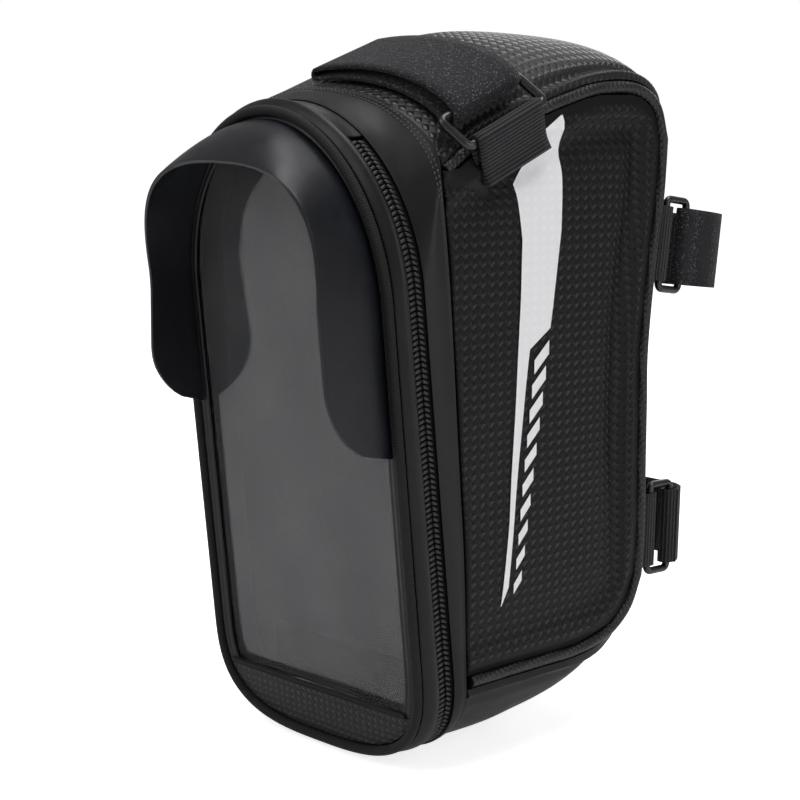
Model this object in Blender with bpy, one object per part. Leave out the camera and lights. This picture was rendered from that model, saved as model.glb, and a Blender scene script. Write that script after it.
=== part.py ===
# Front frame bag: a small sewn bag that stands on the frame behind the head tube of a bicycle.
# Metres, +Z towards the front end of the bag, which stands here on its rear end.
# The hinged lid with its clear window faces -Y, the frame tube side faces +Y.
# The origin is on the middle of the flat rear end.

from math import acos, atan, cos, degrees, hypot, pi, radians, sin, sqrt, tan

import bmesh
import bpy
from mathutils import Vector

# Overall form
PANEL_HALF_WIDTH = 0.0496   # middle to the outer face of the side panels
ZIP_STEP = 0.0011           # from there in to the lid and the zip band at the zip
HALF_WIDTH = PANEL_HALF_WIDTH - ZIP_STEP
PANEL_WALL = 0.0022         # padded laminate of the panels
BAND_WALL = 0.0022          # smooth laminate of the lid wall and the zip band
SEAM_GAP = 0.0003           # left between sewn pieces

# The mouth, where lid and bag meet at the zip
MOUTH_LOW_Z = 0.0330        # straight sides start
MOUTH_HIGH_Z = 0.1430       # straight sides end
LID_TOP_Z = 0.1955
LID_FLOOR_Z = 0.0007
FOOT_POWER = 3.0            # squareness of the lid's lower end
ZIP_PLANE_Y = -0.0346       # at z = 0
ZIP_PLANE_LEAN = 0.1050     # y per z

# Front face of the lid
FACE_STEP = 0.0020          # from the zip in to the edge of the face
FACE_HALF_WIDTH = HALF_WIDTH - FACE_STEP
FACE_HIGH_Z = 0.1385
FACE_TOP_Z = 0.1935
FACE_PLANE_Y = -0.0436      # at z = 0
FACE_PLANE_LEAN = 0.1000

# Rear edge of the zip band
BAND_LOW_Z = 0.0270
BAND_HIGH_Z = 0.1750
BAND_TOP_Z = 0.1985
BAND_TOP_Y = -0.0410
BAND_FOOT_Y = -0.0305
REAR_LEAN = radians(9.5)    # of the rear end's edge at the zip band
BAND_SINK = 0.0020          # of the rear edge's arch below the rear end, which cuts it flat
BAND_REAR = (               # (z, y) of the sewn edge along the side panel
    (BAND_LOW_Z, BAND_FOOT_Y), (0.063, -0.0315), (0.0975, -0.0340),
    (0.145, -0.0375), (BAND_HIGH_Z, BAND_TOP_Y))

# Seam round the side panel, from the lid over the front end and down the tube side:
# (y, z, rise of the crowned panel beyond the seam, direction of that rise in degrees)
FRONT_SEAM = (
    (BAND_TOP_Y, BAND_HIGH_Z, BAND_TOP_Z - BAND_HIGH_Z, 90), (-0.0290, 0.1825, 0.0198, 90),
    (-0.0130, 0.1885, 0.0198, 90), (0.0070, 0.1945, 0.0185, 90), (0.0250, 0.1985, 0.0150, 88),
    (0.0420, 0.1985, 0.0132, 76), (0.0520, 0.1935, 0.0110, 48), (0.0562, 0.1830, 0.0075, 20))
TUBE_SEAM = (
    (0.0562, 0.1830, 0.0075, 20), (0.0548, 0.1650, 0.0040, 4), (0.0510, 0.1420, 0.0030, 0),
    (0.0484, 0.1180, 0.0030, 0), (0.0484, 0.1000, 0.0030, 0), (0.0484, 0.0800, 0.0030, 0),
    (0.0484, 0.0620, 0.0030, 0), (0.0474, 0.0460, 0.0045, -16))
REAR_SEAM = (
    (0.0474, 0.0460, 0.0045, -16), (0.0420, 0.0360, 0.0080, -42), (0.0320, 0.0295, 0.0152, -66),
    (0.0180, 0.0270, 0.0260, -86), (0.0000, 0.0270, 0.0290, -90), (-0.0160, 0.0270, 0.0290, -85),
    (BAND_FOOT_Y, BAND_LOW_Z, 0.0290, -80.5))

# Piping in the side seams
PIPING_RADIUS = 0.0018
PIPING_INSET = 0.0006       # middle of the piping in from the side panel's face
PIPING_X = PANEL_HALF_WIDTH - PIPING_INSET
SEAM_STEPS = 3              # stations between two given points of a seam
CROWN_STEP = 0.004          # radians, to find where a crowned panel clears the piping

# Zip
CHAIN_GAP = 0.0005          # middle of the chain to a rib row
RIB_REACH = 0.0023          # outer end of a rib
TAPE_REACH = 0.0028
RECESS_REACH = 0.0031       # where the lid wall and the zip band start
RIB_DEPTH = 0.0009
VALLEY_DEPTH = 0.0014
TAPE_DEPTH = 0.0018
TAPE_THICKNESS = 0.0008
RIB_PITCH = 0.0044
HINGE_HALF_WIDTH = 0.0270   # uncut laminate between the two ends of the zip
HINGE_THICKNESS = 0.0010
HINGE_AXIS_RISE = 0.0005    # of the lid's hinge axis over the top of the mouth

# Lid
LID_FULLNESS = 0.85         # share of the lid wall's spread that is reached at its middle
BINDING_RADIUS = 0.0012
BINDING_INSET = 0.0010
BINDING_PROUD = 0.0002      # centre of the binding in front of the face
FRAME_THICKNESS = 0.0016
WINDOW_INSET = 0.0075
WINDOW_FOOT_Z = 0.0180
FILM_MARGIN = 0.0025
FILM_THICKNESS = 0.0006
POCKET_WALL = 0.0012
POCKET_DEPTH = 0.0100
SLOT_HALF_WIDTH = 0.0330
SLOT_LOW_Z = 0.0180
SLOT_HEIGHT = 0.0120

# Sun visor
VISOR_INSET = 0.0040
VISOR_FOOT_Z = 0.0960       # lower end on the right
VISOR_LEFT_FOOT_Z = 0.1030
VISOR_THICKNESS = 0.0012
VISOR_RIGHT_REACH = 0.0205
VISOR_LEFT_REACH = 0.0155
VISOR_TOP_REACH = 0.0205
VISOR_TAPER = 0.0025        # from the face's edge in to the visor's rim
VISOR_RIM_HALF_WIDTH = FACE_HALF_WIDTH - VISOR_TAPER
VISOR_RIM_TOP_Z = 0.1785
VISOR_RIM_POWER = 2.8
VISOR_CORNER = 0.0300
VISOR_END_SHARE = 0.06      # of the full reach, at the visor's two ends
VISOR_TOP_BLEND = 1.2       # how soon the reach changes from the sides to the top

# Straps and rings
STRAP_THICKNESS = 0.0012
TAB_THICKNESS = 0.0008
RING_WIRE = 0.0012
RING_CORNER = 0.0018
HEAD_STRAP_FRONT_Y = -0.0360
HEAD_STRAP_WIDTH = 0.0255
HEAD_LOOP_END_X = -0.0085
HEAD_STRAP_LIFT = 0.0016    # middle of the strap's lower layer over the panel
HEAD_STRAP_WRAP = 0.0025    # middle of the strap to the middle of the ring's bar
HEAD_LOOP_HEIGHT = 0.0044   # middle of the upper layer over the panel, at the folded end
HEAD_RING_TURN = 26.0       # degrees up from the side seam to the ring's upper bar
HEAD_STRAP_TURN_GAP = 5.0   # degrees from the ring's bar to where the two layers meet it
HEAD_RING_WIDTH = 0.0107
HEAD_RING_SHIFT = 0.0047    # the lower bar's offset towards the tube side
HEAD_TAB_LENGTH = 0.0120
HEAD_TAB_SLANT = 0.70       # the tab runs towards the tube side as it goes down
HEAD_TAB_REST = 0.45        # share of the tab's length at which it leaves the side panel
HEAD_TAB_RISE = 0.0030      # below the bar, where it has risen over the piping
HEAD_TAB_PUFF = 0.0012      # of the outer layer over the inner one, below the bar
HEAD_TAB_PUFF_Z = 0.0045
HEAD_TAB_EASE = 0.0003      # of the outer layer further down
UPPER_STRAP_Z = 0.1510
UPPER_LOOP_REACH = 0.0380
UPPER_LOOP_DROOP = 8.0      # degrees
LOWER_STRAP_Z = 0.0590
LOWER_LOOP_REACH = 0.0240
LOWER_LOOP_DROOP = 2.0
TUBE_STRAP_WIDTH = 0.0240
TUBE_RING_INSET = 0.0031    # middle of the ring in from the side panel's face
TUBE_RING_X = PANEL_HALF_WIDTH - TUBE_RING_INSET
TUBE_RING_HALF_LENGTH = 0.0142
TUBE_RING_HALF_WIDTH = 0.0050
TUBE_RING_OUT = 0.0085      # middle of the ring from the panel
TUBE_SEWN_INSETS = (0.0425, 0.0265, 0.0105)     # of the sewn stretch, in from the ring's middle
TUBE_LIFT_INSET = 0.0025    # where the strap leaves the panel
TUBE_LIFT = 0.0035
TUBE_RISE = 0.0100          # where it stands straight out
TUBE_BEND = 0.0100          # size of the loop's bends, and the largest share of its reach
TUBE_BEND_SHARE = 0.35
TUBE_TAIL = 0.0065          # past the ring's outer bar

# Sliders and pulls
SLIDER_LENGTH = 0.0090
SLIDER_HALF_WIDTH = 0.0026
SLIDER_WEB = 0.00025
SLIDER_PLATE = 0.0011
SLIDER_GAP = 0.0020         # between the noses of the two sliders
SLIDERS_MEET_Z = 0.1015
PULL_LENGTH = 0.0128
PULL_HALF_WIDTH = 0.0026
PULL_THICKNESS = 0.0010
PULL_EYE_LENGTH = 0.0037
BRIDGE_HEIGHT = 0.0032
BRIDGE_HALF_LENGTH = 0.0020
BRIDGE_BAR = 0.0009
PIVOT_OFFSET = 0.0025
WEB_SHARE = 0.8             # of the slider's length
SLIDER_ROUNDING = 0.45      # of its half width

BLACK = (0.013, 0.013, 0.015, 1.0)
DARK_GREY = (0.030, 0.030, 0.033, 1.0)


def material(name, colour, roughness, metallic=0.0):
    made = bpy.data.materials.new(name)
    made.use_nodes = True
    shader = made.node_tree.nodes["Principled BSDF"]
    shader.inputs["Base Color"].default_value = colour
    shader.inputs["Roughness"].default_value = roughness
    shader.inputs["Metallic"].default_value = metallic
    return made


def place(name, mesh, finish, smooth=True):
    mesh.materials.append(finish)
    if smooth:
        mesh.shade_smooth()
        mesh.set_sharp_from_angle(angle=radians(35))
    piece = bpy.data.objects.new(name, mesh)
    bpy.context.scene.collection.objects.link(piece)
    return piece


def finish_mesh(name, shape):
    bmesh.ops.recalc_face_normals(shape, faces=shape.faces)
    mesh = bpy.data.meshes.new(name)
    shape.to_mesh(mesh)
    shape.free()
    return mesh


# Curves

def smooth_curve(points, steps):
    # Catmull-Rom curve through points of any dimension, both ends kept
    first = [2 * a - b for a, b in zip(points[0], points[1])]
    last = [2 * a - b for a, b in zip(points[-1], points[-2])]
    chain = [first, *points, last]
    curve = []
    for i in range(1, len(chain) - 2):
        for k in range(steps):
            t = k / steps
            curve.append([
                0.5 * (2 * b + (c - a) * t + (2 * a - 5 * b + 4 * c - d) * t * t
                       + (3 * b - a - 3 * c + d) * t ** 3)
                for a, b, c, d in zip(*chain[i - 1:i + 3])])
    curve.append(list(points[-1]))
    return curve


def step(a, b):
    # distance between two points of a route, in its plane
    return hypot(b[0] - a[0], b[1] - a[1])


def resample(points, count):
    # the same route with evenly spaced points
    lengths = [0.0]
    for a, b in zip(points, points[1:]):
        lengths.append(lengths[-1] + step(a, b))
    even = []
    i = 0
    for k in range(count):
        target = lengths[-1] * k / (count - 1)
        while i < len(points) - 2 and lengths[i + 1] < target:
            i += 1
        span = max(lengths[i + 1] - lengths[i], 1e-9)
        t = min(max((target - lengths[i]) / span, 0.0), 1.0)
        even.append([p + (q - p) * t for p, q in zip(points[i], points[i + 1])])
    return even


def normals(route):
    # unit normals on the right-hand side of a route in a plane
    found = []
    for i in range(len(route)):
        a = route[max(i - 1, 0)]
        b = route[min(i + 1, len(route) - 1)]
        size = hypot(b[0] - a[0], b[1] - a[1])
        found.append(((b[1] - a[1]) / size, (a[0] - b[0]) / size))
    return found


def trimmed(points, start, end):
    # a route with a length cut off each end; the points between stay where they are
    for gap in (start, end):
        points = points[::-1]
        while step(points[-1], points[-2]) < gap:
            gap -= step(points[-1], points[-2])
            points = points[:-1]
        share = gap / step(points[-1], points[-2])
        points = points[:-1] + [[q + (p - q) * share for p, q in zip(points[-2], points[-1])]]
    return points


def read_curve(curve, at, key=0, value=1):
    # column value where column key is at, between the curve's own ends
    ordered = sorted(curve, key=lambda point: point[key])
    at = min(max(at, ordered[0][key]), ordered[-1][key])
    for a, b in zip(ordered, ordered[1:]):
        if a[key] <= at <= b[key] and b[key] > a[key]:
            return a[value] + (b[value] - a[value]) * (at - a[key]) / (b[key] - a[key])
    return ordered[-1][value]


# Outlines

def zip_y(z):
    return ZIP_PLANE_Y - ZIP_PLANE_LEAN * z


def face_y(z):
    return FACE_PLANE_Y - FACE_PLANE_LEAN * z


BAND_REAR_CURVE = smooth_curve(BAND_REAR, 5)


def band_rear_y(z):
    if z < BAND_LOW_Z:
        return BAND_FOOT_Y + (BAND_LOW_Z - z) * tan(REAR_LEAN)
    return read_curve(BAND_REAR_CURVE, z)


def straight_arch(half, low, high, floor, top, power=2.0, side_steps=6, arch_steps=16):
    # (x, z) round straight sides with rounded ends, up the right side first;
    # power is the squareness of the lower end
    points = []
    for k in range(side_steps):
        points.append((half, low + (high - low) * k / side_steps))
    for k in range(arch_steps):
        turn = pi * k / arch_steps
        points.append((half * cos(turn), high + (top - high) * sin(turn)))
    for k in range(side_steps):
        points.append((-half, high - (high - low) * k / side_steps))
    for k in range(arch_steps):
        turn = pi * k / arch_steps
        across = abs(cos(turn)) ** (2 / power) * (1 if turn > pi / 2 else -1)
        points.append((half * across, low - (low - floor) * sin(turn) ** (2 / power)))
    return points


def mouth_outline(inset, side_steps=6, arch_steps=16):
    return straight_arch(HALF_WIDTH - inset, MOUTH_LOW_Z, MOUTH_HIGH_Z, LID_FLOOR_Z + inset,
                         LID_TOP_Z - inset, FOOT_POWER, side_steps, arch_steps)


def face_outline(inset, side_steps=6, arch_steps=16):
    return straight_arch(FACE_HALF_WIDTH - inset, MOUTH_LOW_Z, FACE_HIGH_Z, LID_FLOOR_Z + inset,
                         FACE_TOP_Z - inset, FOOT_POWER, side_steps, arch_steps)


def above(ring, foot_z, count):
    # the stretch of a ring above foot_z, from the right foot over the top to the left foot
    size = len(ring)
    start = next(i for i in range(size) if ring[i - 1][1] <= foot_z < ring[i][1] and ring[i][0] > 0)
    kept = []
    for k in range(size):
        point = ring[(start + k) % size]
        if point[1] <= foot_z:
            break
        kept.append(point)
    ends = []
    for a, b in ((ring[start - 1], kept[0]), (ring[(start + len(kept)) % size], kept[-1])):
        t = (foot_z - a[1]) / (b[1] - a[1])
        ends.append((a[0] + (b[0] - a[0]) * t, foot_z))
    return resample([ends[0], *kept, ends[1]], count)


# Meshes

def sheet(name, outer, inner, finish, closed=False):
    # a wall between two grids of points, outer[i][j] over inner[i][j]
    shape = bmesh.new()
    top = [[shape.verts.new(p) for p in row] for row in outer]
    under = [[shape.verts.new(p) for p in row] for row in inner]
    rows = len(top)
    columns = len(top[0])
    for i in range(rows if closed else rows - 1):
        k = (i + 1) % rows
        for j in range(columns - 1):
            shape.faces.new((top[i][j], top[i][j + 1], top[k][j + 1], top[k][j]))
            shape.faces.new((under[i][j], under[k][j], under[k][j + 1], under[i][j + 1]))
        for j in (0, columns - 1):
            shape.faces.new((top[i][j], top[k][j], under[k][j], under[i][j]))
    if not closed:
        for i in (0, rows - 1):
            for j in range(columns - 1):
                shape.faces.new((top[i][j], top[i][j + 1], under[i][j + 1], under[i][j]))
    return place(name, finish_mesh(name, shape), finish)


def loft(name, rings, finish, closed=False):
    # a solid through cross-sections that have the same number of points
    shape = bmesh.new()
    made = [[shape.verts.new(p) for p in ring] for ring in rings]
    count = len(made[0])
    for i in range(len(made) if closed else len(made) - 1):
        k = (i + 1) % len(made)
        for j in range(count):
            n = (j + 1) % count
            shape.faces.new((made[i][j], made[i][n], made[k][n], made[k][j]))
    if not closed:
        shape.faces.new(made[0])
        shape.faces.new(made[-1])
    return place(name, finish_mesh(name, shape), finish)


def plate(name, outline, thickness, finish):
    # a flat outline of 3-D points, thickened along a vector
    shape = bmesh.new()
    face = shape.faces.new([shape.verts.new(p) for p in outline])
    grown = bmesh.ops.extrude_face_region(shape, geom=[face])
    moved = [item for item in grown["geom"] if isinstance(item, bmesh.types.BMVert)]
    bmesh.ops.translate(shape, verts=moved, vec=thickness)
    return place(name, finish_mesh(name, shape), finish)


def tube(name, route, radius, finish, closed=False, resolution=2):
    curve = bpy.data.curves.new(name, "CURVE")
    curve.dimensions = "3D"
    curve.bevel_depth = radius
    curve.bevel_resolution = resolution
    curve.use_fill_caps = True
    spline = curve.splines.new("POLY")
    spline.points.add(len(route) - 1)
    for point, position in zip(spline.points, route):
        point.co = (*position, 1.0)
    spline.use_cyclic_u = closed
    curve.materials.append(finish)
    piece = bpy.data.objects.new(name, curve)
    bpy.context.scene.collection.objects.link(piece)
    return piece


def block(shape, low, high):
    # a box between two corners, added to a bmesh
    size = Vector(high) - Vector(low)
    made = bmesh.ops.create_cube(shape, size=1.0)
    bmesh.ops.scale(shape, vec=size, verts=made["verts"])
    bmesh.ops.translate(shape, vec=(Vector(high) + Vector(low)) / 2, verts=made["verts"])
    return made["verts"]


# Sewn panels

def crown_profile(rise, skew, steps=13):
    # (x, rise) pairs across a crowned panel's two faces, stopped short of the piping;
    # skew is the cosine between the rise and the seam's own normal
    half = PANEL_HALF_WIDTH

    def pair(turn):
        outer = Vector((half * cos(turn), rise * sin(turn)))
        away = Vector((rise * cos(turn), half * sin(turn))).normalized()
        return outer, outer - away * PANEL_WALL

    start = 0.0
    clear = PIPING_RADIUS + SEAM_GAP
    while start < pi / 2:
        outer, inner = pair(start)
        wall = [outer.lerp(inner, k / 6) for k in range(7)]
        nearest = min(hypot(point.x - PIPING_X, point.y * skew) for point in wall)
        if nearest > clear and (outer.y > clear or outer.x < PIPING_X):
            break
        start += CROWN_STEP
    turns = [start + (pi - 2 * start) * k / steps for k in range(steps + 1)]
    return [pair(turn) for turn in turns]


def crowned_panel(name, seam, finish, start_gap, end_gap):
    # a panel that runs along the seam and crowns across the bag
    stations = trimmed(smooth_curve(seam, SEAM_STEPS), start_gap, end_gap)
    outer = []
    inner = []
    for (y, z, rise, heading), (ny, nz) in zip(stations, normals(stations)):
        out_y = cos(radians(heading))
        out_z = sin(radians(heading))
        profile = crown_profile(rise, -(ny * out_y + nz * out_z))
        outer.append([(a.x, y + a.y * out_y, max(z + a.y * out_z, 0.0)) for a, b in profile])
        inner.append([(b.x, y + b.y * out_y, max(z + b.y * out_z, PANEL_WALL)) for a, b in profile])
    return sheet(name, outer, inner, finish)


def side_seam():
    # (y, z) of the whole seam round a side panel
    return [(y, z) for y, z, rise, heading in smooth_curve(FRONT_SEAM, SEAM_STEPS)
            + smooth_curve(TUBE_SEAM, SEAM_STEPS)[1:] + smooth_curve(REAR_SEAM, SEAM_STEPS)[1:]]


def side_panel(name, side, finish):
    inset = PIPING_RADIUS + SEAM_GAP
    seam = side_seam()
    inside = [(y + ny * inset, z + nz * inset) for (y, z), (ny, nz) in zip(seam, normals(seam))]
    foot = BAND_LOW_Z + inset
    head = inside[0][1]
    steps = 12
    edge = [foot + (head - foot) * k / steps for k in range(steps + 1)]
    outline = [(band_rear_y(z) + SEAM_GAP, z) for z in edge]
    outline += [(y, z) for y, z in inside[1:] if y > band_rear_y(z) + SEAM_GAP + inset / 2]
    inner_x = PANEL_HALF_WIDTH - PANEL_WALL
    points = [Vector((side * inner_x, y, z)) for y, z in outline]
    return plate(name, points, (side * PANEL_WALL, 0, 0), finish)


def piping(name, side, finish):
    route = trimmed(side_seam(), PIPING_RADIUS, PIPING_RADIUS)
    return tube(name, [(side * PIPING_X, y, z) for y, z in route], PIPING_RADIUS, finish)


def lid_wall(finish):
    front_gap = BINDING_RADIUS - BINDING_PROUD + SEAM_GAP
    outer = []
    inner = []
    rings = [face_outline(0.0), mouth_outline(0.0), face_outline(BAND_WALL), mouth_outline(BAND_WALL)]
    for (x, z), (a, b), (u, v), (c, d) in zip(*rings):
        front = face_y(z) + front_gap
        rear = zip_y(b) - RECESS_REACH
        full = (x + (a - x) * LID_FULLNESS, (front + rear) / 2, z + (b - z) * LID_FULLNESS)
        outer.append([(x, front, z), full, (a, rear, b)])
        inner.append([(u, front, v), (u + (c - u) / 2, (front + rear) / 2, v + (d - v) / 2), (c, rear, d)])
    return sheet("lid_wall", outer, inner, finish, closed=True)


def zip_band(finish):
    outer = []
    inner = []
    rears = []
    for inset in (0.0, BAND_WALL):
        rears.append(straight_arch(PANEL_HALF_WIDTH - inset, BAND_LOW_Z, BAND_HIGH_Z,
                                   inset - BAND_SINK, BAND_TOP_Z - inset))
    for (x, z), (u, v), (a, b), (c, d) in zip(mouth_outline(0.0), mouth_outline(BAND_WALL), *rears):
        front = zip_y(z) + RECESS_REACH
        rear = band_rear_y(b) - SEAM_GAP
        b = max(b, 0.0)
        d = max(d, BAND_WALL)
        outer.append([(x, front, z), ((x + a) / 2, (front + rear) / 2, (z + b) / 2), (a, rear, b)])
        inner.append([(u, front, v), ((u + c) / 2, (front + rear) / 2, (v + d) / 2), (c, rear, d)])
    return sheet("zip_band", outer, inner, finish, closed=True)


# Zip

def zip_tape(name, side, finish):
    # tape with its row of ribs, from the hinge down one side, round the foot and up the other
    ring = mouth_outline(0.0, 24, 60)
    start = max(i for i, (x, z) in enumerate(ring) if x > HINGE_HALF_WIDTH and z > MOUTH_HIGH_Z)
    turned = ring[start::-1] + ring[:start:-1]
    route = [point for point in turned if point[1] < MOUTH_HIGH_Z or abs(point[0]) > HINGE_HALF_WIDTH]
    length = sum(step(a, b) for a, b in zip(route, route[1:]))
    ribs = round(length / RIB_PITCH)
    route = resample(route, 2 * ribs + 1)
    floor = TAPE_DEPTH + TAPE_THICKNESS
    rings = []
    for k, ((x, z), (nx, nz)) in enumerate(zip(route, normals(route))):
        top = RIB_DEPTH if k % 2 else VALLEY_DEPTH
        section = ((floor, CHAIN_GAP), (top, CHAIN_GAP), (top, RIB_REACH),
                   (TAPE_DEPTH, TAPE_REACH), (floor, TAPE_REACH))
        rings.append([(x + nx * depth, zip_y(z + nz * depth) + side * reach, z + nz * depth)
                      for depth, reach in section])
    return loft(name, rings, finish)


def hinge_strip(finish):
    steps = 12
    outer = []
    inner = []
    for rows, depth in ((outer, SEAM_GAP), (inner, SEAM_GAP + HINGE_THICKNESS)):
        half = HALF_WIDTH - depth
        rise = LID_TOP_Z - MOUTH_HIGH_Z - depth
        reach = HINGE_HALF_WIDTH - TAPE_DEPTH
        for k in range(steps + 1):
            x = reach - 2 * reach * k / steps
            z = MOUTH_HIGH_Z + rise * sqrt(1 - (x / half) ** 2)
            rows.append([(x, zip_y(z) - TAPE_REACH, z), (x, zip_y(z) + TAPE_REACH, z)])
    return sheet("hinge_strip", outer, inner, finish)


def united(name, boxes, finish, rounded):
    # boxes joined into one solid; the first has its upright corners rounded
    low, high = boxes[0]
    first = bmesh.new()
    block(first, low, high)
    corners = [edge for edge in first.edges
               if abs(edge.verts[0].co.x - edge.verts[1].co.x) > (high[0] - low[0]) / 2]
    bmesh.ops.bevel(first, geom=corners, offset=rounded, segments=2, profile=0.5, affect="EDGES", material=-1)
    piece = place(name, finish_mesh(name, first), finish, smooth=False)
    for k, (low, high) in enumerate(boxes[1:]):
        part = bmesh.new()
        block(part, low, high)
        tool = bpy.data.objects.new(f"{name}_join_{k}", finish_mesh(f"{name}_join_{k}", part))
        bpy.context.scene.collection.objects.link(tool)
        tool.hide_render = True
        tool.display_type = "WIRE"
        tool.parent = piece
        join = piece.modifiers.new(f"join_{k}", "BOOLEAN")
        join.operation = "UNION"
        join.object = tool
    return piece


def slider_top():
    return -(HALF_WIDTH - RIB_DEPTH + SEAM_GAP + SLIDER_PLATE)


def slider(name, centre_z, nose, finish):
    # two plates round the closed chain with a web between them, and the bridge that holds the pull;
    # the pull sits away from the slider's nose, which points up for nose = 1
    half = SLIDER_LENGTH / 2
    top = slider_top()
    under = -(HALF_WIDTH - TAPE_DEPTH - TAPE_THICKNESS - SEAM_GAP)
    pivot = -nose * PIVOT_OFFSET
    boxes = [
        ((top, -SLIDER_HALF_WIDTH, -half), (top + SLIDER_PLATE, SLIDER_HALF_WIDTH, half)),
        ((top + SLIDER_PLATE / 2, -SLIDER_WEB, -half * WEB_SHARE),
         (under + SLIDER_PLATE / 2, SLIDER_WEB, half * WEB_SHARE)),
        ((under, -SLIDER_HALF_WIDTH, -half), (under + SLIDER_PLATE, SLIDER_HALF_WIDTH, half))]
    for end in (-1, 1):
        middle = pivot + end * BRIDGE_HALF_LENGTH
        boxes.append(((top - BRIDGE_HEIGHT + BRIDGE_BAR / 2, -BRIDGE_BAR, middle - BRIDGE_BAR / 2),
                      (top + SLIDER_PLATE / 2, BRIDGE_BAR, middle + BRIDGE_BAR / 2)))
    reach = BRIDGE_HALF_LENGTH + BRIDGE_BAR / 2
    boxes.append(((top - BRIDGE_HEIGHT, -BRIDGE_BAR, pivot - reach),
                  (top - BRIDGE_HEIGHT + BRIDGE_BAR, BRIDGE_BAR, pivot + reach)))
    piece = united(name, boxes, finish, SLIDER_HALF_WIDTH * SLIDER_ROUNDING)
    piece.location = (0.0, zip_y(centre_z), centre_z)
    piece.rotation_euler.x = atan(ZIP_PLANE_LEAN)
    return piece


def pull_pivot(centre_z, nose):
    # where a pull turns in its bridge
    along = Vector((0.0, -ZIP_PLANE_LEAN, 1.0)).normalized() * (-nose * PIVOT_OFFSET)
    depth = slider_top() - (BRIDGE_HEIGHT - BRIDGE_BAR) / 2
    return Vector((depth, zip_y(centre_z), centre_z)) + along


def pull(name, centre_z, nose, finish):
    # a flat tab with an eye whose end bar turns inside the bridge; the origin is on that bar
    half = PULL_THICKNESS / 2
    eye = BRIDGE_BAR + SEAM_GAP
    taper = PULL_HALF_WIDTH - PULL_LENGTH
    rim = ((half, PULL_HALF_WIDTH), (taper, PULL_HALF_WIDTH), (-PULL_LENGTH, PULL_HALF_WIDTH / 2),
           (-PULL_LENGTH, -PULL_HALF_WIDTH / 2), (taper, -PULL_HALF_WIDTH), (half, -PULL_HALF_WIDTH))
    shape = bmesh.new()
    shape.faces.new([shape.verts.new((-half, y, z)) for z, y in rim])
    grown = bmesh.ops.extrude_face_region(shape, geom=shape.faces[:])
    moved = [item for item in grown["geom"] if isinstance(item, bmesh.types.BMVert)]
    bmesh.ops.translate(shape, verts=moved, vec=(PULL_THICKNESS, 0, 0))
    piece = place(name, finish_mesh(name, shape), finish, smooth=False)
    part = bmesh.new()
    block(part, (-PULL_THICKNESS, -eye, -PULL_EYE_LENGTH), (PULL_THICKNESS, eye, -half))
    cutter = bpy.data.objects.new(f"{name}_eye", finish_mesh(f"{name}_eye", part))
    bpy.context.scene.collection.objects.link(cutter)
    cutter.hide_render = True
    cutter.display_type = "WIRE"
    cutter.parent = piece
    cut = piece.modifiers.new("eye", "BOOLEAN")
    cut.operation = "DIFFERENCE"
    cut.object = cutter
    piece.location = pull_pivot(centre_z, nose)
    piece.rotation_euler.x = atan(ZIP_PLANE_LEAN)
    return piece


# Lid

def on_face(points, back):
    # outline points (x, z) laid on the lid's face, back behind it
    return [(x, face_y(z) + back, z) for x, z in points]


def frame_inset():
    return BINDING_INSET + BINDING_RADIUS + SEAM_GAP


def window_frame(finish):
    count = 46
    rim = above(face_outline(frame_inset(), 24, 60), WINDOW_FOOT_Z, count)
    window = above(face_outline(WINDOW_INSET, 24, 60), WINDOW_FOOT_Z, count)
    front = [[a, b] for a, b in zip(on_face(rim, 0.0), on_face(window, 0.0))]
    back = [[a, b] for a, b in zip(on_face(rim, FRAME_THICKNESS), on_face(window, FRAME_THICKNESS))]
    return sheet("window_frame", front, back, finish)


def lower_insert(finish):
    top_z = WINDOW_FOOT_Z - SEAM_GAP
    ring = face_outline(frame_inset(), 24, 60)
    kept = [point for point in ring if point[1] < top_z]
    kept.sort()
    edge = above(ring, top_z, 8)
    outline = [edge[-1], *kept, edge[0]]
    return plate("lower_insert", [Vector(p) for p in on_face(outline, 0.0)], (0, FRAME_THICKNESS, 0), finish)


def window_film(finish):
    ring = face_outline(WINDOW_INSET - FILM_MARGIN)
    foot = WINDOW_FOOT_Z - FILM_MARGIN
    outline = above(ring, foot, 40)
    back = FRAME_THICKNESS + SEAM_GAP
    return plate("window_film", [Vector(p) for p in on_face(outline, back)], (0, FILM_THICKNESS, 0), finish)


def pocket_inset():
    return WINDOW_INSET - FILM_MARGIN - SEAM_GAP - POCKET_WALL


def pocket_gusset(finish):
    front = FRAME_THICKNESS + SEAM_GAP
    rear = front + FILM_THICKNESS + POCKET_DEPTH - SEAM_GAP
    inset = pocket_inset()
    outer = []
    inner = []
    for rows, ring in ((outer, face_outline(inset)), (inner, face_outline(inset + POCKET_WALL))):
        for x, z in ring:
            rows.append([(x, face_y(z) + front, z), (x, face_y(z) + rear, z)])
    return sheet("pocket_gusset", outer, inner, finish, closed=True)


def pocket_back(finish):
    # the inner wall of the pocket, with the slot that its contents go in through
    start = FRAME_THICKNESS + SEAM_GAP + FILM_THICKNESS + POCKET_DEPTH
    ring = face_outline(pocket_inset())
    piece = plate("pocket_back", [Vector(p) for p in on_face(ring, start)], (0, POCKET_WALL, 0), finish)
    part = bmesh.new()
    middle = face_y(SLOT_LOW_Z) + start
    block(part, (-SLOT_HALF_WIDTH, middle - POCKET_DEPTH / 2, SLOT_LOW_Z),
          (SLOT_HALF_WIDTH, middle + POCKET_DEPTH / 2, SLOT_LOW_Z + SLOT_HEIGHT))
    cutter = bpy.data.objects.new("pocket_slot", finish_mesh("pocket_slot", part))
    bpy.context.scene.collection.objects.link(cutter)
    cutter.hide_render = True
    cutter.display_type = "WIRE"
    cut = piece.modifiers.new("slot", "BOOLEAN")
    cut.operation = "DIFFERENCE"
    cut.object = cutter
    return piece


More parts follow.
